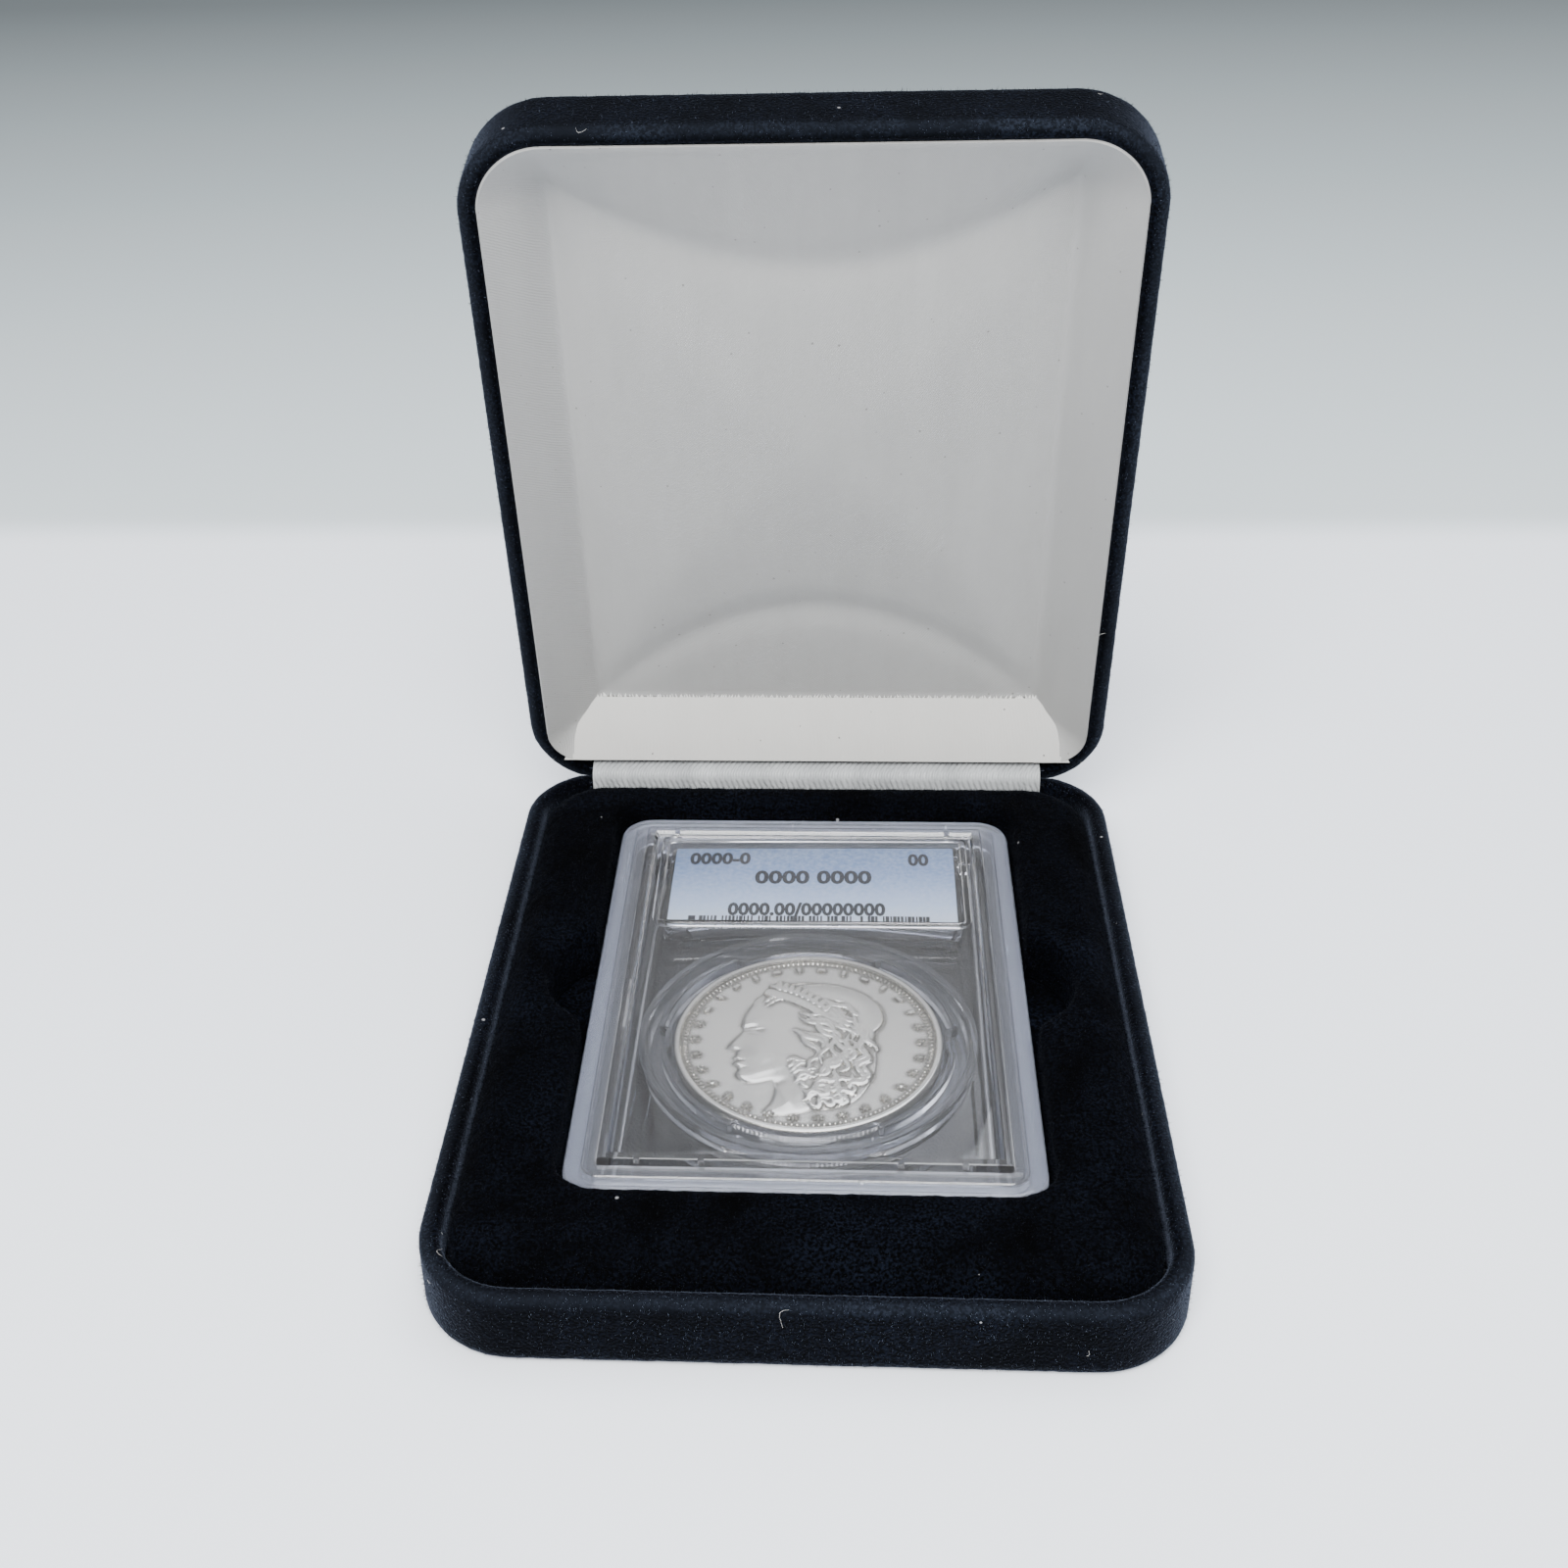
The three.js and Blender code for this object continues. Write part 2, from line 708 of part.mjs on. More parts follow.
// The lid turns about the hinge axis. Its tray frame is the base's, upside down on the parting plane.
const lid = new THREE.Group();
lid.position.set(0, hingeY, hingeZ);
lid.rotation.x = -THREE.MathUtils.degToRad(openAngle);
coinCase.add(lid);
const lidTray = new THREE.Group();
lidTray.rotation.y = Math.PI;
lidTray.position.set(0, -hingeY, lidHeight + partingGap / 2);
lid.add(lidTray);
place(lidTray, "lid_velvet_cover", velvetCover(lidHeight, lidEdgeRadius), velvet);
place(lidTray, "lid_shell", caseShell(lidHeight, lidEdgeRadius), shellPlastic);
place(lidTray, "lining_board", liningBoard(), card);
place(lidTray, "lining_pad", liningPad(), satin);
place(lidTray, "lining_wall_hinge", liningWall("hinge"), satin);
place(lidTray, "lining_wall_front", liningWall("front"), satin);
place(lidTray, "lining_wall_left", liningWall("right"), satin);
place(lidTray, "lining_wall_right", liningWall("left"), satin);
place(lidTray, "hinge_leaf_lid", hingeLeaf(lidHeight, knuckles.lid), steel);
place(lidTray, "hinge_rivet_lid_left", rivet(rivetX, lidHeight), steel);
place(lidTray, "hinge_rivet_lid_right", rivet(-rivetX, lidHeight), steel);

const slab = new THREE.Group();
slab.position.set(0, slabCentreY, slabZ);
coinCase.add(slab);
place(slab, "slab_back_shell", slabBackShell(), clearPlastic);
const slabFront = place(slab, "slab_front_shell", slabFrontShell(), clearPlastic);
slabFront.rotation.y = Math.PI;
slabFront.position.z = slabThickness;
place(slab, "coin_ring", coinRing(), clearPlastic);
place(slab, "coin", coin(), silver);
place(slab, "grade_label", gradeLabel(), labelPaper);
place(slab, "back_sticker", backSticker(), foil);

export default coinCase;
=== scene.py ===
import json
import math
import random

import bmesh
import bpy
import numpy as np
from mathutils import Matrix, Vector, noise


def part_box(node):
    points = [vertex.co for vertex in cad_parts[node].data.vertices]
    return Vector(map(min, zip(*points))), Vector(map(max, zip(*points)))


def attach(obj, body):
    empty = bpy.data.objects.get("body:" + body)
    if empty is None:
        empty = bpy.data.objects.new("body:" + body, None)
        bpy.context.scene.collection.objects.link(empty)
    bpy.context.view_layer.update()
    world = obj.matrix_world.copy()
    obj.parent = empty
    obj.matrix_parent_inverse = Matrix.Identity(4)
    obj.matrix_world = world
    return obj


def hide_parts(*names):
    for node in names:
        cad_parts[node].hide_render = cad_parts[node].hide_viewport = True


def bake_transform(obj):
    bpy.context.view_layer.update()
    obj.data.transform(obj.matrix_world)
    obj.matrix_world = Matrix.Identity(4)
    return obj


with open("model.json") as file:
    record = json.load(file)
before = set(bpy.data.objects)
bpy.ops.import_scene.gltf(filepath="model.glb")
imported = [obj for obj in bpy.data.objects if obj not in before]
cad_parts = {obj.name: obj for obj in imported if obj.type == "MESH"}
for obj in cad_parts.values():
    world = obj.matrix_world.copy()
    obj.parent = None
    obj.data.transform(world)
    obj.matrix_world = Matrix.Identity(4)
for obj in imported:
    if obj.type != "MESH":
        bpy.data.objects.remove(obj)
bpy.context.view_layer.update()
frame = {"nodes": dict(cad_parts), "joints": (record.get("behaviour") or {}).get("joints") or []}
nodes = frame["nodes"]

mm = 0.001
hinge = next(j for j in frame["joints"] if j["name"] == "lid_hinge")
hingeAt = Vector(hinge["pos_m"])
openAngle = math.radians(hinge["range_deg"][1])
# lid pieces are modelled shut, in place over the base, and then turned open with this
lidOpen = Matrix.Translation(hingeAt) @ Matrix.Rotation(-openAngle, 4, "X") @ Matrix.Translation(-hingeAt)
lidShut = lidOpen.inverted()


def deselectAll():
    if bpy.context.object and bpy.context.object.mode != "OBJECT":
        bpy.ops.object.mode_set(mode="OBJECT")
    bpy.ops.object.select_all(action="DESELECT")


def pick(piece):
    deselectAll()
    piece.select_set(True)
    bpy.context.view_layer.objects.active = piece


def applyPlace(piece):
    pick(piece)
    bpy.ops.object.transform_apply(location=True, rotation=True, scale=True)


def addModifier(piece, kind, **values):
    modifier = piece.modifiers.new(kind.lower(), kind)
    for key, value in values.items():
        setattr(modifier, key, value)
    pick(piece)
    bpy.ops.object.modifier_apply(modifier=modifier.name)


def selectOnly(piece, faces=None, edges=None):
    # faces and edges are tests on a face's centre and normal, or on an edge's two ends
    pick(piece)
    mesh = piece.data
    for group in (mesh.vertices, mesh.edges, mesh.polygons):
        group.foreach_set("select", [False] * len(group))
    if faces:
        bpy.context.tool_settings.mesh_select_mode = (False, False, True)
        for face in mesh.polygons:
            face.select = bool(faces(face.center, face.normal))
    if edges:
        bpy.context.tool_settings.mesh_select_mode = (False, True, False)
        for edge in mesh.edges:
            a, b = (mesh.vertices[i].co for i in edge.vertices)
            edge.select = bool(edges(a, b))
    bpy.ops.object.mode_set(mode="EDIT")


def cleanNormals(piece, merge=1e-7):
    pick(piece)
    bpy.ops.object.mode_set(mode="EDIT")
    bpy.ops.mesh.select_all(action="SELECT")
    bpy.ops.mesh.remove_doubles(threshold=merge)
    bpy.ops.mesh.normals_make_consistent(inside=False)
    bpy.ops.object.mode_set(mode="OBJECT")


def smoothBy(piece, degrees):
    pick(piece)
    bpy.ops.object.shade_smooth_by_angle(angle=math.radians(degrees))


def openLid(piece):
    piece.matrix_world = lidOpen
    applyPlace(piece)
    return piece


def shutBox(node):
    co = [lidShut @ v.co for v in nodes[node].data.vertices]
    low = Vector([min(c[i] for c in co) for i in range(3)])
    high = Vector([max(c[i] for c in co) for i in range(3)])
    return low, high


def joinPieces(first, others):
    pick(first)
    for other in others:
        other.select_set(True)
    bpy.ops.object.join()
    return first


def cutWith(piece, other, operation):
    pick(piece)
    cut = piece.modifiers.new("cut", "BOOLEAN")
    cut.object, cut.operation, cut.solver = other, operation, "EXACT"
    bpy.ops.object.modifier_apply(modifier=cut.name)
    bpy.data.objects.remove(other)


def roundedLoop(low, high, radius, inset=0.0, spacing=None, arcSteps=8):
    # a rounded rectangle's points, anticlockwise, always the same count for one spacing
    x0, x1, y0, y1 = low[0] + inset, high[0] - inset, low[1] + inset, high[1] - inset
    r = max(radius - inset, 0.05 * mm)
    corners = [(x1 - r, y0 + r, -90), (x1 - r, y1 - r, 0), (x0 + r, y1 - r, 90), (x0 + r, y0 + r, 180)]
    sides = [high[1] - low[1], high[0] - low[0]]
    points = []
    for number, (cx, cy, start) in enumerate(corners):
        arc = [math.radians(start + 90 * k / arcSteps) for k in range(arcSteps + 1)]
        points += [(cx + r * math.cos(a), cy + r * math.sin(a)) for a in arc]
        steps = max(int((sides[number % 2] - 2 * radius) / spacing), 1) if spacing else 1
        nx, ny, nextStart = corners[(number + 1) % 4]
        a = math.radians(nextStart)
        end = (nx + r * math.cos(a), ny + r * math.sin(a))
        here = points[-1]
        for k in range(1, steps):
            t = k / steps
            points.append((here[0] + (end[0] - here[0]) * t, here[1] + (end[1] - here[1]) * t))
    return points


def circleLoop(centre, radiusAt, count=160):
    angles = [2 * math.pi * k / count for k in range(count)]
    return [(centre[0] + radiusAt(a) * math.cos(a), centre[1] + radiusAt(a) * math.sin(a)) for a in angles]


def insetOf(x, y, low, high, radius):
    # how far (x, y) lies inside a rounded rectangle
    qx = abs(x - (low[0] + high[0]) / 2) - ((high[0] - low[0]) / 2 - radius)
    qy = abs(y - (low[1] + high[1]) / 2) - ((high[1] - low[1]) / 2 - radius)
    return radius - math.hypot(max(qx, 0), max(qy, 0)) - min(max(qx, qy), 0)


def drawRings(name, rings, closed=False, caps=True):
    # one circle, extruded ring by ring; rings are (outline, z) from the first end to the last
    deselectAll()
    outline, z = rings[0]
    bpy.ops.mesh.primitive_circle_add(vertices=len(outline), radius=1)
    piece = bpy.context.object
    piece.name = piece.data.name = name
    bpy.context.tool_settings.mesh_select_mode = (True, False, False)
    bpy.ops.object.mode_set(mode="EDIT")
    mesh = bmesh.from_edit_mesh(piece.data)
    # the circle's vertices, in order round it
    for vertex, (x, y) in zip(list(mesh.verts), outline):
        vertex.co = (x, y, z)
    current = list(mesh.verts)
    first = current
    for outline, z in rings[1:]:
        made = [mesh.verts.new((x, y, z)) for x, y in outline]
        for i in range(len(made)):
            j = (i + 1) % len(made)
            mesh.faces.new((current[i], current[j], made[j], made[i]))
        current = made
    if closed:
        for i in range(len(current)):
            j = (i + 1) % len(current)
            mesh.faces.new((current[i], current[j], first[j], first[i]))
    elif caps:
        mesh.faces.new(first[::-1])
        mesh.faces.new(current)
    bmesh.update_edit_mesh(piece.data)
    bpy.ops.mesh.select_all(action="SELECT")
    bpy.ops.mesh.normals_make_consistent(inside=False)
    bpy.ops.object.mode_set(mode="OBJECT")
    return piece


def arcSteps(fromAngle, toAngle, steps):
    return [math.radians(fromAngle + (toAngle - fromAngle) * k / steps) for k in range(steps + 1)]


def roughen(piece, amount, size, seed, keep=lambda co: True):
    # moves each point along its normal by smooth noise of that size
    piece.data.update()
    shift = Vector((seed * 3.1, seed * 1.7, seed * 0.9))
    moves = [v.normal * amount * noise.noise(v.co / size + shift) for v in piece.data.vertices]
    for vertex, move in zip(piece.data.vertices, moves):
        if keep(vertex.co):
            vertex.co += move
    piece.data.update()


def addNode(tree, kind, inputs=None, **settings):
    node = tree.nodes.new(kind)
    for key, value in settings.items():
        setattr(node, key, value)
    for key, value in (inputs or {}).items():
        if isinstance(value, bpy.types.NodeSocket):
            tree.links.new(value, node.inputs[key])
        else:
            node.inputs[key].default_value = value
    return node


def newGroup(name, inputs, outputs):
    tree = bpy.data.node_groups.new(name, "ShaderNodeTree")
    for socketName, kind, value in inputs:
        socket = tree.interface.new_socket(socketName, in_out="INPUT", socket_type=kind)
        if value is not None:
            socket.default_value = value
    for socketName, kind in outputs:
        tree.interface.new_socket(socketName, in_out="OUTPUT", socket_type=kind)
    return tree, tree.nodes.new("NodeGroupInput"), tree.nodes.new("NodeGroupOutput")


def makeLintGroup():
    # small pale specks, scattered and of uneven size
    tree, given, out = newGroup(
        "lintSpecks",
        [("Vector", "NodeSocketVector", None), ("Scale", "NodeSocketFloat", 300.0),
         ("Size", "NodeSocketFloat", 0.12), ("Share", "NodeSocketFloat", 0.2)],
        [("Mask", "NodeSocketFloat")],
    )
    cells = addNode(tree, "ShaderNodeTexVoronoi", {"Vector": given.outputs["Vector"],
                                                   "Scale": given.outputs["Scale"]})
    pickCell = addNode(tree, "ShaderNodeSeparateColor", {"Color": cells.outputs["Color"]})
    chosen = addNode(tree, "ShaderNodeMath", {0: pickCell.outputs[0], 1: given.outputs["Share"]},
                     operation="LESS_THAN")
    size = addNode(tree, "ShaderNodeMath", {0: pickCell.outputs[1], 1: given.outputs["Size"]},
                   operation="MULTIPLY")
    near = addNode(tree, "ShaderNodeMath", {0: cells.outputs["Distance"], 1: size.outputs[0]},
                   operation="LESS_THAN")
    both = addNode(tree, "ShaderNodeMath", {0: chosen.outputs[0], 1: near.outputs[0]}, operation="MULTIPLY")
    tree.links.new(both.outputs[0], out.inputs["Mask"])
    return tree


def makeNapGroup():
    # velvet pile: brushed patches as a shade and fine tufts as a height
    tree, given, out = newGroup(
        "velvetNap",
        [("Vector", "NodeSocketVector", None), ("Patches", "NodeSocketFloat", 55.0),
         ("Tufts", "NodeSocketFloat", 2600.0)],
        [("Shade", "NodeSocketFloat"), ("Height", "NodeSocketFloat")],
    )
    vector = given.outputs["Vector"]
    patches = addNode(tree, "ShaderNodeTexNoise", {"Vector": vector, "Scale": given.outputs["Patches"],
                                                   "Detail": 5.0, "Roughness": 0.6, "Distortion": 0.8})
    spread = addNode(tree, "ShaderNodeMapRange", {0: patches.outputs[0], 1: 0.35, 2: 0.68, 3: 0.0, 4: 1.0})
    tufts = addNode(tree, "ShaderNodeTexNoise", {"Vector": vector, "Scale": given.outputs["Tufts"],
                                                 "Detail": 2.0})
    grain = addNode(tree, "ShaderNodeMapRange", {0: tufts.outputs[0], 1: 0.42, 2: 0.7, 3: 0.0, 4: 1.0})
    mixed = addNode(tree, "ShaderNodeMath", {0: spread.outputs[0], 1: grain.outputs[0]},
                    operation="MULTIPLY")
    tree.links.new(mixed.outputs[0], out.inputs["Shade"])
    tree.links.new(tufts.outputs[0], out.inputs["Height"])
    return tree


def makeWeaveGroup():
    # crossed threads: a diagonal twill rib with an uneven thread in it
    tree, given, out = newGroup(
        "satinWeave",
        [("Vector", "NodeSocketVector", None), ("Threads", "NodeSocketFloat", 500.0),
         ("Slub", "NodeSocketFloat", 220.0)],
        [("Height", "NodeSocketFloat"), ("Shade", "NodeSocketFloat")],
    )
    turned = addNode(tree, "ShaderNodeMapping", {"Vector": given.outputs["Vector"]})
    turned.inputs["Rotation"].default_value = (0.5, 0.0, math.radians(38))
    rib = addNode(tree, "ShaderNodeTexWave", {"Vector": turned.outputs[0],
                                              "Scale": given.outputs["Threads"], "Distortion": 1.2,
                                              "Detail": 2.0, "Detail Scale": 3.0})
    stretched = addNode(tree, "ShaderNodeMapping", {"Vector": given.outputs["Vector"]})
    stretched.inputs["Scale"].default_value = (1.0, 0.18, 0.18)
    slub = addNode(tree, "ShaderNodeTexNoise", {"Vector": stretched.outputs[0],
                                                "Scale": given.outputs["Slub"], "Detail": 6.0,
                                                "Roughness": 0.65})
    sumUp = addNode(tree, "ShaderNodeMath", {0: rib.outputs[1], 1: slub.outputs[0]}, operation="ADD")
    tree.links.new(sumUp.outputs[0], out.inputs["Height"])
    tree.links.new(slub.outputs[0], out.inputs["Shade"])
    return tree


def makeWearGroup():
    # rub marks: fine crossing hairlines and cloudy handling marks
    tree, given, out = newGroup(
        "handlingWear",
        [("Vector", "NodeSocketVector", None), ("Hairlines", "NodeSocketFloat", 900.0),
         ("Clouds", "NodeSocketFloat", 90.0)],
        [("Hairline", "NodeSocketFloat"), ("Cloud", "NodeSocketFloat")],
    )
    stretched = addNode(tree, "ShaderNodeMapping", {"Vector": given.outputs["Vector"]})
    stretched.inputs["Scale"].default_value = (1.0, 0.05, 1.0)
    stretched.inputs["Rotation"].default_value = (0.0, 0.0, math.radians(27))
    hair = addNode(tree, "ShaderNodeTexNoise", {"Vector": stretched.outputs[0],
                                                "Scale": given.outputs["Hairlines"], "Detail": 3.0})
    thin = addNode(tree, "ShaderNodeMapRange", {0: hair.outputs[0], 1: 0.6, 2: 0.72})
    cloud = addNode(tree, "ShaderNodeTexNoise", {"Vector": given.outputs["Vector"],
                                                 "Scale": given.outputs["Clouds"], "Detail": 4.0})
    tree.links.new(thin.outputs[0], out.inputs["Hairline"])
    tree.links.new(cloud.outputs[0], out.inputs["Cloud"])
    return tree


lintSpecks = makeLintGroup()
velvetNap = makeNapGroup()
satinWeave = makeWeaveGroup()
handlingWear = makeWearGroup()


def newMaterial(name, **values):
    material = bpy.data.materials.new(name)
    material.use_nodes = True
    tree = material.node_tree
    shader = tree.nodes["Principled BSDF"]
    for key, value in values.items():
        shader.inputs[key].default_value = value
    place = tree.nodes.new("ShaderNodeTexCoord").outputs["Object"]
    return material, tree, shader, place


def mixColours(tree, factor, first, second):
    mix = tree.nodes.new("ShaderNodeMix")
    mix.data_type = "RGBA"
    tree.links.new(factor, mix.inputs[0])
    for socket, value in ((mix.inputs[6], first), (mix.inputs[7], second)):
        if isinstance(value, bpy.types.NodeSocket):
            tree.links.new(value, socket)
        else:
            socket.default_value = value
    return mix.outputs[2]


def addBump(tree, shader, height, strength, distance):
    bump = addNode(tree, "ShaderNodeBump", {"Height": height, "Strength": strength, "Distance": distance})
    tree.links.new(bump.outputs[0], shader.inputs["Normal"])


def markPoints(piece, name, values):
    # one number at each point of a piece, which a material reads back with readMark
    layer = piece.data.attributes.new(name, "FLOAT", "POINT")
    layer.data.foreach_set("value", values)


def readMark(tree, name):
    return addNode(tree, "ShaderNodeAttribute", attribute_name=name).outputs["Fac"]


def useGroup(tree, group, vector, **values):
    node = tree.nodes.new("ShaderNodeGroup")
    node.node_tree = group
    tree.links.new(vector, node.inputs["Vector"])
    for key, value in values.items():
        node.inputs[key].default_value = value
    return node


# deep and brushed are the pile's own colours; the rim colour is a painted sheen highlight for the rim's
# outer edge
velvetLook = {"deep": (0.0001, 0.00014, 0.0003, 1), "brushed": (0.004, 0.0055, 0.0105, 1),
              "rimSheen": (0.020, 0.025, 0.036, 1), "lint": (0.2, 0.2, 0.21, 1),
              "sheenRoughness": 0.35, "sheenTint": (0.5, 0.6, 0.85, 1)}


def velvetMaterial(name, lint, sheen, rimSheen=False):
    material, tree, shader, place = newMaterial(name, **{
        "Roughness": 0.95, "Specular IOR Level": 0.03, "Sheen Weight": sheen,
        "Sheen Roughness": velvetLook["sheenRoughness"], "Sheen Tint": velvetLook["sheenTint"]})
    nap = useGroup(tree, velvetNap, place)
    specks = useGroup(tree, lintSpecks, place, Scale=520.0, Size=0.15, Share=lint)
    pile = mixColours(tree, nap.outputs["Shade"], velvetLook["deep"], velvetLook["brushed"])
    # painted sheen: the pile is mixed towards the lighter rim colour where the rim mark is set
    if rimSheen:
        sheenSpread = addNode(tree, "ShaderNodeMapRange", {0: nap.outputs["Shade"], 3: 0.35, 4: 1.0})
        share = addNode(tree, "ShaderNodeMath", {0: sheenSpread.outputs[0], 1: readMark(tree, "rimSheen")},
                        operation="MULTIPLY")
        pile = mixColours(tree, share.outputs[0], pile, velvetLook["rimSheen"])
    tree.links.new(mixColours(tree, specks.outputs["Mask"], pile, velvetLook["lint"]),
                   shader.inputs["Base Color"])
    addBump(tree, shader, nap.outputs["Height"], 0.6, 0.0003)
    return material


def satinMaterial(name, colour, shadeColour, threads, roughness, bump):
    material, tree, shader, place = newMaterial(name, **{
        "Roughness": roughness, "Sheen Weight": 0.25, "Sheen Roughness": 0.4, "Specular IOR Level": 0.35})
    weave = useGroup(tree, satinWeave, place, Threads=threads)
    specks = useGroup(tree, lintSpecks, place, Scale=760.0, Size=0.15, Share=0.22)
    cloth = mixColours(tree, weave.outputs["Shade"], shadeColour, colour)
    tree.links.new(mixColours(tree, specks.outputs["Mask"], cloth, (0.17, 0.165, 0.16, 1)),
                   shader.inputs["Base Color"])
    addBump(tree, shader, weave.outputs["Height"], bump, 0.0002)
    return material


def clearMaterial(name, tint, roughness, clear):
    material, tree, shader, place = newMaterial(name, **{
        "Base Color": tint, "Transmission Weight": clear, "IOR": 1.49, "Roughness": roughness})
    wear = useGroup(tree, handlingWear, place)
    rough = addNode(tree, "ShaderNodeMapRange", {0: wear.outputs["Hairline"], 3: roughness,
                                                 4: roughness + 0.06})
    tree.links.new(rough.outputs[0], shader.inputs["Roughness"])
    return material


def metalMaterial(name, colour, worn, roughness, bump=0.08, reliefShadeColour=None, metallic=1.0):
    material, tree, shader, place = newMaterial(name, **{"Metallic": metallic, "Roughness": roughness})
    wear = useGroup(tree, handlingWear, place, Hairlines=700.0, Clouds=160.0)
    metal = mixColours(tree, wear.outputs["Cloud"], colour, worn)
    if reliefShadeColour:
        # painted shade: mixed towards the darker colour where the relief mark is set
        metal = mixColours(tree, readMark(tree, "reliefShade"), metal, reliefShadeColour)
    tree.links.new(metal, shader.inputs["Base Color"])
    rough = addNode(tree, "ShaderNodeMapRange", {0: wear.outputs["Cloud"], 3: roughness - 0.06,
                                                 4: roughness + 0.12})
    tree.links.new(rough.outputs[0], shader.inputs["Roughness"])
    addBump(tree, shader, wear.outputs["Hairline"], bump, 0.0001)
    return material


def mouldedMaterial(name, colour, marked, roughness):
    material, tree, shader, place = newMaterial(name, Roughness=roughness)
    wear = useGroup(tree, handlingWear, place, Clouds=220.0)
    tree.links.new(mixColours(tree, wear.outputs["Cloud"], colour, marked), shader.inputs["Base Color"])
    addBump(tree, shader, wear.outputs["Cloud"], 0.3, 0.0002)
    return material


velvetOuter = velvetMaterial("velvetOuter", 0.04, 0.12, True)
velvetInner = velvetMaterial("velvetInner", 0.02, 0.01)
velvetPile = velvetMaterial("velvetPile", 0.02, 0.9)
recessPile = velvetMaterial("recessPile", 0.02, 0.12)
liningSatin = satinMaterial("liningSatin", (0.33, 0.33, 0.325, 1), (0.275, 0.275, 0.27, 1), 1700.0, 0.5,
                            0.3)
# painted light: the hinge panel's satin is a lighter copy of the lining satin, standing in for the light on
# its up-facing slope
litPanelSatin = satinMaterial("litPanelSatin", (0.47, 0.465, 0.45, 1), (0.42, 0.415, 0.40, 1), 1700.0, 0.45, 0.25)
ribbonSatin = satinMaterial("ribbonSatin", (0.55, 0.57, 0.58, 1), (0.20, 0.21, 0.22, 1), 430.0, 0.3, 1.0)
fringeThread = satinMaterial("fringeThread", (0.9, 0.89, 0.87, 1), (0.8, 0.79, 0.77, 1), 900.0, 0.3, 0.1)
clearShell = clearMaterial("clearShell", (0.965, 0.97, 1.0, 1), 0.03, 0.99)
hazyShell = clearMaterial("hazyShell", (0.72, 0.755, 0.87, 1), 0.14, 0.94)
clearRing = clearMaterial("clearRing", (0.87, 0.89, 0.96, 1), 0.05, 0.97)
frostedShell = clearMaterial("frostedShell", (0.70, 0.735, 0.84, 1), 0.22, 0.82)
# the last colour is the painted shade for the relief's hollows and steep sides
coinSilver = metalMaterial("coinSilver", (1.0, 0.975, 0.92, 1), (0.90, 0.88, 0.82, 1), 0.2, 0.04,
                           (0.30, 0.285, 0.25, 1), 0.93)
platedSteel = metalMaterial("platedSteel", (0.55, 0.56, 0.58, 1), (0.46, 0.47, 0.49, 1), 0.32)
stickerFoil = metalMaterial("stickerFoil", (0.7, 0.72, 0.76, 1), (0.6, 0.66, 0.7, 1), 0.18)
shellPlastic = mouldedMaterial("shellPlastic", (0.02, 0.021, 0.023, 1), (0.03, 0.031, 0.034, 1), 0.6)
greyBoard = mouldedMaterial("greyBoard", (0.48, 0.44, 0.37, 1), (0.41, 0.37, 0.31, 1), 0.9)
charcoalFoam = mouldedMaterial("charcoalFoam", (0.05, 0.05, 0.055, 1), (0.03, 0.03, 0.033, 1), 0.95)
labelInk = mouldedMaterial("labelInk", (0.004, 0.005, 0.012, 1), (0.008, 0.01, 0.018, 1), 0.5)


def labelMaterial(low, high):
    material, tree, shader, place = newMaterial("labelPaper", Roughness=0.42)
    axes = addNode(tree, "ShaderNodeSeparateXYZ", {0: place})
    along = addNode(tree, "ShaderNodeMapRange", {0: axes.outputs["Y"], 1: low.y, 2: high.y})
    ramp = addNode(tree, "ShaderNodeValToRGB", {0: along.outputs[0]})
    stops = [(0.0, (0.72, 0.83, 0.98, 1)), (0.22, (0.50, 0.65, 0.90, 1)), (0.65, (0.20, 0.33, 0.60, 1)),
             (1.0, (0.13, 0.24, 0.45, 1))]
    while len(ramp.color_ramp.elements) < len(stops):
        ramp.color_ramp.elements.new(0.5)
    for element, (position, colour) in zip(ramp.color_ramp.elements, stops):
        element.position, element.color = position, colour
    fibre = addNode(tree, "ShaderNodeTexNoise", {"Vector": place, "Scale": 1500.0, "Detail": 3.0})
    grain = addNode(tree, "ShaderNodeMapRange", {0: fibre.outputs[0], 1: 0.3, 2: 0.7, 3: 0.0, 4: 0.22})
    paper = mixColours(tree, grain.outputs[0], ramp.outputs[0], (0.95, 0.96, 1.0, 1))
    tree.links.new(paper, shader.inputs["Base Color"])
    addBump(tree, shader, fibre.outputs[0], 0.1, 0.0001)
    return material


def finishPiece(piece, material, body, replaced=(), smooth=40):
    piece.data.materials.clear()
    piece.data.materials.append(material)
    if smooth:
        smoothBy(piece, smooth)
    if replaced:
        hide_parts(*replaced)
    if body:
        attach(piece, body)
    return piece


print("materials made")

coverShape = {"cornerRadius": 12.6 * mm, "edgeRadius": 1.8 * mm, "lidEdgeRadius": 2.4 * mm,
              "rimWidth": 2.8 * mm, "rimRound": 1.25 * mm, "flapDepth": 5.0 * mm, "skin": 0.7 * mm,
              "spacing": 0.85 * mm, "nap": 0.07 * mm, "hingeHalf": 38.2 * mm,
              "hingeSlope": math.tan(openAngle / 2 + math.radians(3)), "crown": 0.8 * mm,
              "flatInset": 42 * mm}


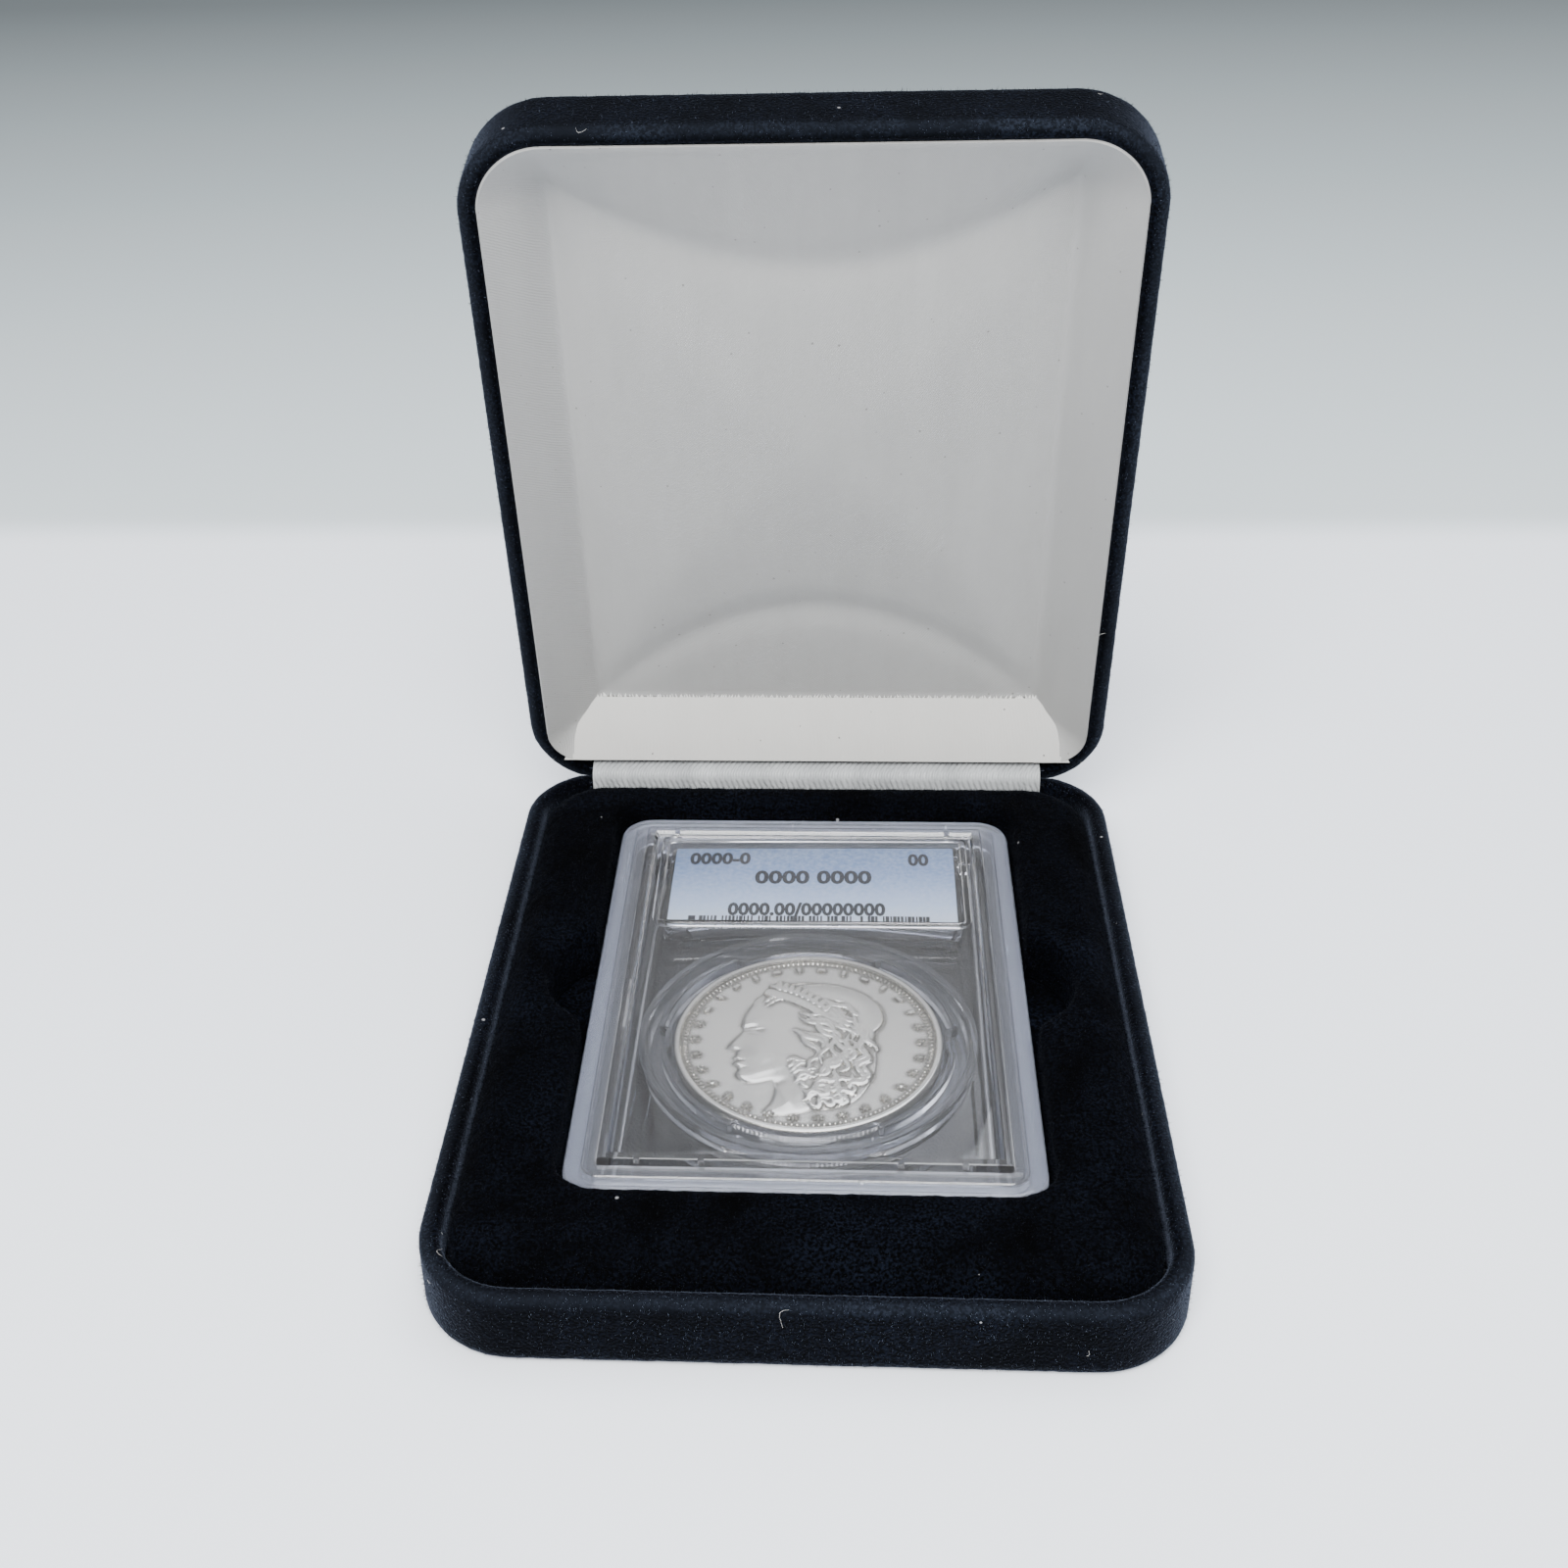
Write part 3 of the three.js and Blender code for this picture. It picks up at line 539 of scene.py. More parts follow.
def velvetTray(name, low, high, floorZ, rimZ, edgeRadius, seed):
    # skin of a half case: flat face at floorZ, outside wall, rounded rim at rimZ, flap down inside
    up = 1 if rimZ > floorZ else -1
    shape = coverShape
    rings = []

    def ring(inset, height):
        outline = roundedLoop(low, high, shape["cornerRadius"], inset, shape["spacing"], 18)
        rings.append((outline, floorZ + up * height))

    tall = abs(rimZ - floorZ)
    crown = shape["crown"] if up < 0 else 0
    for k in range(31):
        inset = shape["flatInset"] + (edgeRadius + 0.6 * mm - shape["flatInset"]) * k / 30
        ring(inset, -crown * (1 - math.cos(math.pi / 2 * inset / shape["flatInset"])) if crown else 0)
    for a in arcSteps(-90, 0, 5):
        ring(edgeRadius * (1 - math.cos(a)), edgeRadius * (1 + math.sin(a)))
    wallTop = tall - shape["rimRound"]
    steps = int((wallTop - edgeRadius) / shape["spacing"])
    for k in range(1, steps):
        ring(0, edgeRadius + (wallTop - edgeRadius) * k / steps)
    for a in arcSteps(0, 90, 4):
        ring(shape["rimRound"] * (1 - math.cos(a)), wallTop + shape["rimRound"] * math.sin(a))
    inner = shape["rimWidth"] - shape["rimRound"]
    for a in arcSteps(90, 0, 4):
        ring(inner + shape["rimRound"] * math.cos(a), wallTop + shape["rimRound"] * math.sin(a))
    for k in range(1, 5):
        ring(shape["rimWidth"], wallTop - shape["flapDepth"] * k / 5)
    piece = drawRings(name, rings, caps=False)
    pick(piece)
    bpy.context.tool_settings.mesh_select_mode = (False, True, False)
    bpy.ops.object.mode_set(mode="EDIT")
    bpy.ops.mesh.select_all(action="DESELECT")
    mesh = bmesh.from_edit_mesh(piece.data)
    floorEdge = shape["flatInset"] - 0.3 * mm
    floorRing = [v for v in mesh.verts
                 if insetOf(v.co.x, v.co.y, low, high, shape["cornerRadius"]) > floorEdge]
    mesh.faces.new(sorted(floorRing, key=lambda v: math.atan2(v.co.y, v.co.x)))
    bmesh.update_edit_mesh(piece.data)
    bpy.ops.mesh.select_all(action="SELECT")
    bpy.ops.mesh.normals_make_consistent(inside=False)
    bpy.ops.object.mode_set(mode="OBJECT")
    rimInside = high.y - shape["rimWidth"]
    selectOnly(piece, faces=lambda c, n: abs(c.x) < shape["hingeHalf"] and rimInside - 0.4 * mm < c.y
               < rimInside + 0.7 * mm and (c.z - floorZ) * up > 1.5 * mm)
    bpy.ops.mesh.delete(type="FACE")
    bpy.ops.object.mode_set(mode="OBJECT")
    roughen(piece, shape["nap"], 1.1 * mm, seed)
    for vertex in piece.data.vertices:
        behind = vertex.co.y - hingeAt.y
        if behind > 0:
            limit = hingeAt.z - up * behind * shape["hingeSlope"]
            vertex.co.z = min(vertex.co.z, limit) if up > 0 else max(vertex.co.z, limit)
    addModifier(piece, "SOLIDIFY", thickness=shape["skin"], offset=-1.0, use_even_offset=False)
    return piece


def paintRimSheen(piece, low, high, rimZ):
    # painted sheen: the pile colour is made lighter along the outer edge of the rim, standing in for the
    # sheen highlight there
    marks = []
    for vertex in piece.data.vertices:
        inset = insetOf(vertex.co.x, vertex.co.y, low, high, coverShape["cornerRadius"])
        down, across = abs(vertex.co.z - rimZ) / (1.5 * mm), max(inset, 0) / (2.0 * mm)
        marks.append(max(0.0, 1 - down) * max(0.0, 1 - across))
    markPoints(piece, "rimSheen", marks)


def makeCovers():
    low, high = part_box("base_velvet_cover")
    base = velvetTray("base_velvet", low, high, low.z, high.z, coverShape["edgeRadius"], 1)
    paintRimSheen(base, low, high, high.z)
    finishPiece(base, velvetOuter, "base", ["base_velvet_cover"], 60)
    low, high = shutBox("lid_velvet_cover")
    lid = velvetTray("lid_velvet", low, high, high.z, low.z, coverShape["lidEdgeRadius"], 2)
    paintRimSheen(lid, low, high, low.z)
    finishPiece(openLid(lid), velvetOuter, "lid", ["lid_velvet_cover"], 60)


makeCovers()
print("velvet covers made")

insertShape = {"cornerRadius": 9.8 * mm, "shrink": 0.2 * mm, "shoulder": 4.4 * mm, "shoulderDrop": 3.4 * mm,
               "voxel": 1.15 * mm, "pressure": 3.0, "frames": 14, "swell": 0.35 * mm, "nap": 0.13 * mm,
               "slabGap": 0.75 * mm, "recessCorner": 5.8 * mm, "notchRadius": 11.8 * mm,
               "recessRound": 1.0 * mm}


def inflate(piece, pressure, frames, cap, pinned):
    # cloth with pressure, then each point's travel capped
    start = [v.co.copy() for v in piece.data.vertices]
    group = piece.vertex_groups.new(name="held")
    group.add([v.index for v in piece.data.vertices if pinned(v.co)], 1.0, "REPLACE")
    cloth = piece.modifiers.new("cloth", "CLOTH")
    settings = cloth.settings
    settings.use_pressure = True
    settings.uniform_pressure_force = pressure
    settings.effector_weights.gravity = 0
    settings.vertex_group_mass = group.name
    settings.quality = 4
    scene = bpy.context.scene
    for number in range(1, frames + 1):
        scene.frame_set(number)
    pick(piece)
    bpy.ops.object.modifier_apply(modifier=cloth.name)
    scene.frame_set(1)
    for vertex, before in zip(piece.data.vertices, start):
        move = vertex.co - before
        if move.length > cap:
            vertex.co = before + move * (cap / move.length)
    piece.vertex_groups.clear()


def makeInsert():
    shape = insertShape
    low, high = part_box("insert_velvet")
    low, high = low + Vector((1, 1, 0)) * shape["shrink"], high - Vector((1, 1, 1)) * shape["shrink"]
    rings = [(roundedLoop(low, high, shape["cornerRadius"], 0.3 * mm, 3 * mm), low.z),
             (roundedLoop(low, high, shape["cornerRadius"], 0, 3 * mm), low.z + 0.6 * mm)]
    for a in arcSteps(0, 90, 6):
        inset = shape["shoulder"] * (1 - math.cos(a))
        outline = roundedLoop(low, high, shape["cornerRadius"], inset, 3 * mm)
        rings.append((outline, high.z - shape["shoulderDrop"] * (1 - math.sin(a))))
    piece = drawRings("insert_cushion", rings)
    slabLow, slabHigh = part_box("slab_back_shell")
    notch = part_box("recess_floor")[1].x + 0.2 * mm - shape["notchRadius"]
    gap = Vector((1, 1, 0)) * (shape["slabGap"] + 0.1 * mm)
    cutLow, cutHigh = slabLow - gap, slabHigh + gap
    middle = (slabLow + slabHigh) / 2

    def flare(height):
        # the cut's edge is rolled over at the top
        down = min(max((high.z - height) / shape["recessRound"], 0), 1)
        return shape["recessRound"] * (1 - math.sqrt(1 - (1 - down) ** 2))

    levels = [low.z - 2 * mm]
    levels += [high.z - shape["recessRound"] * k / 5 for k in range(5, 0, -1)]
    levels += [high.z + 0.02 * mm]
    block = drawRings("recessCutter", [(roundedLoop(cutLow, cutHigh, shape["recessCorner"], -flare(z)), z)
                                       for z in levels])
    cutters = [block]
    for side in (-1, 1):
        centre = (side * notch, middle.y)
        rings = [(circleLoop(centre, lambda a, z=z: shape["notchRadius"] + flare(z), 64), z)
                 for z in levels]
        cutters.append(drawRings("notchCutter", rings))
    for cutter in cutters:
        cutWith(piece, cutter, "DIFFERENCE")
    addModifier(piece, "REMESH", mode="VOXEL", voxel_size=shape["voxel"], use_smooth_shade=True)
    addModifier(piece, "SMOOTH", factor=0.5, iterations=2)
    held = low.z + 1.2 * mm
    inflate(piece, shape["pressure"], shape["frames"], shape["swell"], lambda co: co.z < held)
    addModifier(piece, "SUBSURF", levels=1, render_levels=1)
    roughen(piece, shape["nap"], 1.3 * mm, 7)
    roughen(piece, 0.5 * shape["nap"], 0.6 * mm, 8)
    floor = low.z
    for vertex in piece.data.vertices:
        vertex.co.z = max(vertex.co.z, floor)
    finishPiece(piece, velvetInner, "base", ["insert_velvet"], 80)


def makeRecessFloor():
    # thin velvet pad under the slab, a little wider than the cut-out that it fills
    low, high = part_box("recess_floor")
    slabLow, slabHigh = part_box("slab_back_shell")
    shape = insertShape
    grow = Vector((1, 1, 0)) * (shape["slabGap"] + 1.1 * mm)
    notch = high.x + 0.2 * mm - shape["notchRadius"]
    middleY = (slabLow.y + slabHigh.y) / 2
    levels = [(0, low.z), (0, high.z - 0.2 * mm), (0.2 * mm, high.z)]
    outlines = [(roundedLoop(slabLow - grow, slabHigh + grow, shape["recessCorner"], i, None), z)
                for i, z in levels]
    piece = drawRings("recess_pad", outlines)
    notchWide = shape["notchRadius"] + 0.9 * mm
    for side in (-1, 1):
        rings = [(circleLoop((side * notch, middleY), lambda a, i=i: notchWide - i, 64), z)
                 for i, z in levels]
        cutWith(piece, drawRings("notchPad", rings), "UNION")
    addModifier(piece, "REMESH", mode="VOXEL", voxel_size=0.55 * mm, use_smooth_shade=True)
    roughen(piece, 0.1 * mm, 1.2 * mm, 12)
    for vertex in piece.data.vertices:
        vertex.co.z = min(vertex.co.z, high.z + 0.05 * mm)
    finishPiece(piece, velvetInner, "base", ["recess_floor"], 80)


makeInsert()
makeRecessFloor()
print("padded insert made")

liningShape = {"mouthRadius": 9.7 * mm, "sideRun": 8.1 * mm, "frontDip": 13.5 * mm, "backDip": 19.5 * mm,
               "crown": 2.9 * mm, "tilt": 0.35 * mm, "hingeRadius": 5.5 * mm, "across": 150, "along": 170,
               "thick": 0.4 * mm}


def softMin(a, b, soft):
    h = np.clip(0.5 + 0.5 * (b - a) / soft, 0, 1)
    return b * (1 - h) + a * h - soft * h * (1 - h)


def liningHeight(x, y, box):
    # depth of the satin behind the lid's mouth: sloped walls into valleys round a crowned panel
    shape = liningShape
    low, high, crease = box["low"], box["high"], box["crease"]
    half, depth = high.x, box["depth"]

    def insetAt(u, v):
        radius = shape["mouthRadius"] if v < (low.y + high.y) / 2 else shape["hingeRadius"]
        return insetOf(u, v, low, Vector((high.x, high.y + 0.2 * mm, 0)), radius)

    inset = np.vectorize(insetAt)(x, y)
    share = np.clip(np.abs(x) / (half - shape["sideRun"]), 0, 1)
    bow = 1 - share ** 2
    valleyFront = low.y + shape["sideRun"] + shape["frontDip"] * bow
    valleyBack = crease - shape["backDip"] * bow
    frontRise = (y - low.y) / (valleyFront - low.y)
    frontRise = frontRise + 0.35 * bow * np.clip(frontRise, 0, 1) * (1 - np.clip(frontRise, 0, 1))
    wall = softMin(inset / shape["sideRun"], frontRise, 0.12)
    wall = softMin(wall, np.full_like(wall, 1.0), 0.10)
    inSide = (half - shape["sideRun"] - np.abs(x)) / (half - shape["sideRun"])
    reach = (valleyBack - valleyFront) / 2
    inFront, inBack = (y - valleyFront) / reach, (valleyBack - y) / reach
    rise = softMin(softMin(inSide, inFront, 0.10), inBack, 0.10)
    rise = np.clip(rise, 0, 1)
    pillow = 0.45 * rise + 0.55 * np.sin(rise * math.pi / 2)
    rest = np.clip((y - valleyBack) / np.maximum(crease - valleyBack, 1e-6), 0, 1)
    tilt = np.where(y > valleyBack, 1 - rest, np.clip(1 - (valleyBack - y) / reach, 0, 1))
    # the satin is drawn in along its creases
    pull = 0.6 * mm * np.exp(-((y - valleyBack) / (3.2 * mm)) ** 2) * bow ** 0.5
    pull += 0.35 * mm * np.exp(-((y - valleyFront) / (3.0 * mm)) ** 2) * bow ** 0.5
    sideLine = np.exp(-((np.abs(x) - half + shape["sideRun"]) / (1.8 * mm)) ** 2)
    pull += 0.25 * mm * sideLine * np.clip(wall, 0, 1)
    return depth * np.clip(wall, 0, None) - shape["crown"] * pillow - shape["tilt"] * tilt * bow + pull


def makeLining():
    shape = liningShape
    padLow, padHigh = shutBox("lining_pad")
    wallLow, wallHigh = shutBox("lining_wall_front")
    mouthZ = wallLow.z
    sideBox = shutBox("lining_wall_left"), shutBox("lining_wall_right")
    left, right = min(b[0].x for b in sideBox), max(b[1].x for b in sideBox)
    hingeLow, hingeHigh = shutBox("lining_wall_hinge")
    low, high = Vector((left, wallLow.y, 0)), Vector((right, hingeHigh.y, 0))
    crease = padHigh.y
    creaseHalf = padHigh.x
    box = {"low": low, "high": high, "crease": crease, "depth": wallHigh.z - mouthZ}
    deselectAll()
    bpy.ops.mesh.primitive_grid_add(x_subdivisions=shape["across"], y_subdivisions=shape["along"], size=2)
    piece = bpy.context.object
    piece.name = piece.data.name = "satin_lining"
    co = np.array([v.co[:] for v in piece.data.vertices])
    a, b = co[:, 0], (co[:, 1] + 1) / 2
    x = high.x * np.sin(a * math.pi / 2) * 0.999
    corner = np.clip(np.abs(x) - (high.x - shape["mouthRadius"]), 0, None)
    front = low.y + shape["mouthRadius"] - np.sqrt(np.maximum(shape["mouthRadius"] ** 2 - corner ** 2, 0))
    turned = np.clip(np.abs(x) - (high.x - shape["hingeRadius"]), 0, None)
    hingeEnd = high.y + 0.2 * mm - shape["hingeRadius"] + np.sqrt(shape["hingeRadius"] ** 2 - turned ** 2)
    back = crease + (hingeEnd - crease) * np.clip((np.abs(x) - creaseHalf + 0.9 * mm) / (0.8 * mm), 0, 1)
    y = np.where(b < 0.94, front + (crease - front) * b / 0.94,
                 crease + (back - crease) * (b - 0.94) / 0.06)
    z = mouthZ + liningHeight(x, y, box)
    waves = np.array([noise.noise(Vector((u * 55, v * 30, 3.3))) for u, v in zip(x, y)])
    z = z + waves * 0.12 * mm * np.clip((z - mouthZ) / box["depth"], 0, 1)
    piece.data.vertices.foreach_set("co", np.column_stack([x, y, z]).ravel())
    piece.data.update()
    cleanNormals(piece)
    addModifier(piece, "SOLIDIFY", thickness=shape["thick"], offset=1.0)
    cleanNormals(piece)
    openLid(piece)
    replaced = ["lining_pad", "lining_wall_front", "lining_wall_left", "lining_wall_right"]
    finishPiece(piece, liningSatin, "lid", replaced, 50)
    makeHingePanel(box, high.y, mouthZ)


panelShape = {"thick": 0.5 * mm, "teeth": 150, "tooth": 0.6 * mm, "bow": 0.3 * mm}


def makeHingePanel(box, mouthY, mouthZ):
    # the flat satin strip in front of the hinge, with the pinked edge that stands at its crease
    shape = panelShape
    deselectAll()
    bpy.ops.mesh.primitive_grid_add(x_subdivisions=80, y_subdivisions=10, size=2)
    piece = bpy.context.object
    piece.name = piece.data.name = "hinge_panel"
    crease, depth = box["crease"], box["depth"]
    tries = np.linspace(box["high"].x - 10 * mm, box["high"].x, 60)
    halves = {}
    for vertex in piece.data.vertices:
        a, b = vertex.co.x, round((vertex.co.y + 1) / 2, 4)
        y = crease + (mouthY - crease) * b
        rise = depth * 0.96 * (1 - b) - shape["bow"] * math.sin(math.pi * b)
        if b not in halves:
            # the panel ends where it meets the sloped satin at its side
            deeper = liningHeight(tries, np.full(60, y), box) > rise
            halves[b] = tries[deeper].max() if deeper.any() else tries[0]
        vertex.co = (a * halves[b], y, mouthZ + rise - 0.1 * mm)
    creaseHalf = halves[0.0]
    roughen(piece, 0.12 * mm, 9 * mm, 4)
    cleanNormals(piece)
    addModifier(piece, "SOLIDIFY", thickness=shape["thick"], offset=1.0)
    finishPiece(openLid(piece), litPanelSatin, "lid", ["lining_wall_hinge"], 50)
    random.seed(11)
    teeth = []
    for k in range(shape["teeth"]):
        x = -creaseHalf + 2 * creaseHalf * (k + 0.5) / shape["teeth"] + random.uniform(-0.15, 0.15) * mm
        tall = shape["tooth"] * random.uniform(0.5, 1.15)
        wide = creaseHalf / shape["teeth"] * random.uniform(0.6, 1.0)
        lean = random.uniform(-0.4, 0.5) * mm
        teeth.append((x, tall, wide, lean))
    deselectAll()
    bpy.ops.mesh.primitive_plane_add(size=1)
    fringe = bpy.context.object
    fringe.name = fringe.data.name = "panel_fringe"
    mesh = bmesh.new()
    for x, tall, wide, lean in teeth:
        y = crease - 0.1 * mm
        top = mouthZ + float(liningHeight(np.array([x]), np.array([y - tall]), box)[0]) - 0.12 * mm
        base = [mesh.verts.new((x - wide, y + 0.5 * mm, top)),
                mesh.verts.new((x + wide, y + 0.5 * mm, top)),
                mesh.verts.new((x + wide, y + 0.5 * mm, top - 0.25 * mm)),
                mesh.verts.new((x - wide, y + 0.5 * mm, top - 0.25 * mm))]
        tip = mesh.verts.new((x + lean, y - tall, top - 0.2 * mm))
        for i in range(4):
            mesh.faces.new((base[i], base[(i + 1) % 4], tip))
        mesh.faces.new(base[::-1])
    mesh.to_mesh(fringe.data)
    mesh.free()
    cleanNormals(fringe)
    finishPiece(openLid(fringe), fringeThread, "lid", (), 0)


makeLining()
print("satin lining made")

ribbonShape = {"thick": 0.25 * mm, "lidLength": 4.2 * mm, "across": 60}


def makeRibbon():
    shape = ribbonShape
    low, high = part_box("hinge_ribbon")
    inner = hingeAt.y - (low.y + high.y) / 2
    centre = (low.y + high.y) / 2
    route = [Vector((0, centre, low.z + (hingeAt.z - low.z) * k / 8)) for k in range(9)]
    for a in arcSteps(0, math.degrees(openAngle), 8)[1:]:
        turn = Matrix.Rotation(-a, 3, "X")
        route.append(hingeAt * Vector((0, 1, 1)) + turn @ Vector((0, -inner, 0)))
    turn = Matrix.Rotation(-openAngle, 3, "X")
    for k in range(1, 7):
        onLid = Vector((0, -inner, shape["lidLength"] * k / 6))
        route.append(Vector((0, hingeAt.y, hingeAt.z)) + turn @ onLid)
    deselectAll()
    bpy.ops.mesh.primitive_grid_add(x_subdivisions=shape["across"], y_subdivisions=len(route) - 1, size=2)
    piece = bpy.context.object
    piece.name = piece.data.name = "satin_ribbon"
    for vertex in piece.data.vertices:
        k = round((vertex.co.y + 1) / 2 * (len(route) - 1))
        a = vertex.co.x
        point = route[k]
        vertex.co = (a * high.x, point.y, point.z)
    piece.data.update()
    cleanNormals(piece)
    roughen(piece, 0.16 * mm, 5 * mm, 9)
    addModifier(piece, "SOLIDIFY", thickness=shape["thick"], offset=0.0)
    finishPiece(piece, ribbonSatin, None, ["hinge_ribbon"], 50)
    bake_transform(piece)


makeRibbon()
print("hinge ribbon made")

slabShape = {"corner": 5 * mm, "wall": 2.5 * mm, "ridgeInset": 4.3 * mm, "ridgeWidth": 1.9 * mm,
             "draft": 0.35 * mm, "flangeSink": 1.1 * mm, "windowSink": 0.8 * mm, "window": 1.1 * mm}


def frostFlange(piece, low, high, faceZ, depth):
    # the outer edge and the walls are left frosted, the flange hazy, the window and ridges polished
    piece.data.materials.append(frostedShell)
    piece.data.materials.append(hazyShell)
    shape = slabShape
    for face in piece.data.polygons:
        inset = insetOf(face.center.x, face.center.y, low, high, shape["corner"])
        down = abs(face.center.z - faceZ)
        besideWall = 1.0 * mm < inset < shape["wall"] + 0.3 * mm
        if inset < 0.4 * mm or (besideWall and down > shape["flangeSink"] + 0.4 * mm):
            face.material_index = 1
        elif inset < shape["ridgeInset"] and down < depth / 2:
            face.material_index = 2


def cutGaps(piece, low, high, faceZ, sign):
    # short breaks in the ridge across both ends, as the mould leaves them
    shape = slabShape
    middle = shape["ridgeInset"] + shape["ridgeWidth"] / 2
    cutters = []
    for y, gaps in ((low.y + middle, (-21.5, -13.2, 12.4, 20.6)), (high.y - middle, (-22.0, 21.4))):
        for x in gaps:
            deselectAll()
            bpy.ops.mesh.primitive_cube_add(size=1, location=(x * mm, y, faceZ - sign * 0.2 * mm),
                                            scale=(0.8 * mm, shape["ridgeWidth"] + 0.6 * mm, 1.0 * mm))
            applyPlace(bpy.context.object)
            cutters.append(bpy.context.object)
    cutWith(piece, joinPieces(cutters[0], cutters[1:]), "DIFFERENCE")


def makeSlabHalf(name, node, faceZ, weldZ):
    shape = slabShape
    low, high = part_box(node)
    inward = 1 if weldZ > faceZ else -1
    ridgeEnd = shape["ridgeInset"] + shape["ridgeWidth"]
    floor = shape["windowSink"] + shape["window"]
    profile = [(ridgeEnd + 0.25 * mm, shape["windowSink"]), (ridgeEnd, shape["windowSink"] - 0.15 * mm),
               (ridgeEnd - shape["draft"], 0.1 * mm), (ridgeEnd - shape["draft"] - 0.15 * mm, 0),
               (shape["ridgeInset"] + shape["draft"] + 0.15 * mm, 0),
               (shape["ridgeInset"] + shape["draft"], 0.1 * mm),
               (shape["ridgeInset"], shape["flangeSink"] - 0.1 * mm),
               (shape["ridgeInset"] - 0.25 * mm, shape["flangeSink"]), (2.6 * mm, shape["flangeSink"]),
               (2.4 * mm, shape["flangeSink"] + 0.15 * mm), (0.9 * mm, shape["flangeSink"] + 0.2 * mm),
               (0.35 * mm, shape["flangeSink"] + 0.5 * mm), (0.05 * mm, shape["flangeSink"] + 1.1 * mm),
               (0, abs(weldZ - faceZ) - 0.25 * mm), (0.2 * mm, abs(weldZ - faceZ)),
               (shape["wall"] - 0.3 * mm, abs(weldZ - faceZ)),
               (shape["wall"] - 0.1 * mm, abs(weldZ - faceZ) - 0.2 * mm),
               (shape["wall"], floor + 0.2 * mm), (shape["wall"] + 0.2 * mm, floor)]
    rings = [(roundedLoop(low, high, shape["corner"], inset, None, 10), faceZ + inward * z)
             for inset, z in profile]
    piece = drawRings(name, rings)
    return piece, floor


def makeSlab():
    low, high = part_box("slab_front_shell")
    backLow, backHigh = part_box("slab_back_shell")
    labelLow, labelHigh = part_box("grade_label")
    front, floor = makeSlabHalf("slab_front", "slab_front_shell", high.z, low.z)
    back, floor = makeSlabHalf("slab_back", "slab_back_shell", backLow.z, backLow.z + (high.z - low.z))
    # bezel round the label, hanging from the window
    top = high.z - floor + 0.3 * mm
    corner = 0.8 * mm
    flatWays = Vector((1, 1, 0))
    bezelLow, bezelHigh = labelLow - flatWays * 2.05 * mm, labelHigh + flatWays * 2.05 * mm
    bottom = high.z - floor - 0.7 * mm
    rings = [(roundedLoop(bezelLow, bezelHigh, corner + 1.1 * mm, i * mm, None, 5), z)
             for i, z in ((0, top), (0, bottom + 0.15 * mm), (0.15, bottom), (0.9, bottom),
                          (1.05, bottom + 0.15 * mm), (1.1, top))]
    bezel = drawRings("bezel", rings, closed=True)
    shelfTop = backHigh.z
    shelfLow, shelfHigh = labelLow - flatWays * 0.95 * mm, labelHigh + flatWays * 0.95 * mm
    rings = [(roundedLoop(shelfLow, shelfHigh, 0.9 * mm, i * mm, None, 5), z)
             for i, z in ((0, backLow.z + floor - 0.3 * mm), (0, shelfTop - 0.2 * mm), (0.2, shelfTop))]
    shelf = drawRings("shelf", rings)
    for piece, extra, node, faceZ in ((front, bezel, "slab_front_shell", high.z),
                                      (back, shelf, "slab_back_shell", backLow.z)):
        cutWith(piece, extra, "UNION")
        cutGaps(piece, low, high, faceZ, 1 if faceZ > low.z else -1)
        cleanNormals(piece)
        finishPiece(piece, clearShell, "slab", [node], 25)
        frostFlange(piece, low, high, faceZ, high.z - low.z + 0.2 * mm)


ringShape = {"steps": 180, "stepAngle": math.radians(30), "lipWidth": 0.9 * mm}


def makeRing():
    shape = ringShape
    low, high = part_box("coin_ring")
    coinLow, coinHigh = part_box("coin")
    centre = (low + high) / 2
    outer = (high.x - low.x) / 2
    bore = (coinHigh.x - coinLow.x) / 2 + 0.25 * mm
    seatZ = coinLow.z - 0.12 * mm

    def boreAt(angle):
        # wider between the clips at the sides and the two steps near the top
        turn = abs((angle - math.pi / 2 + math.pi) % (2 * math.pi) - math.pi)
        wide = shape["stepAngle"] < turn < math.radians(84)
        lower = math.radians(96) < turn < math.radians(150)
        return bore + (1.15 * mm if wide else 0.6 * mm if lower else 0)

    lip = shape["lipWidth"]
    web = low.z + 1.3 * mm
    profile = [(lambda a: bore - 0.9 * mm, low.z), (lambda a: outer, low.z),
               (lambda a: outer, high.z - 0.25 * mm),
               (lambda a: outer - 0.2 * mm, high.z), (lambda a: outer - 1.0 * mm, high.z),
               (lambda a: outer - 1.2 * mm, high.z - 0.25 * mm), (lambda a: outer - 1.4 * mm, web),
               (lambda a: boreAt(a) + lip + 0.15 * mm, web), (lambda a: boreAt(a) + lip, high.z - 0.7 * mm),
               (lambda a: boreAt(a) + lip - 0.2 * mm, high.z - 0.5 * mm),
               (lambda a: boreAt(a) + 0.15 * mm, high.z - 0.5 * mm),
               (boreAt, high.z - 0.65 * mm), (boreAt, seatZ), (lambda a: bore - 0.9 * mm, seatZ)]
    rings = [(circleLoop(centre, radiusAt, shape["steps"]), z) for radiusAt, z in profile]
    piece = drawRings("clear_ring", rings, closed=True)
    cleanNormals(piece)
    finishPiece(piece, clearRing, "slab", ["coin_ring"], 28)


labelShape = {"bars": 66, "barHigh": 1.35 * mm, "ink": 0.03 * mm, "inkSpread": 0.17 * mm, "font": 4.4 * mm}


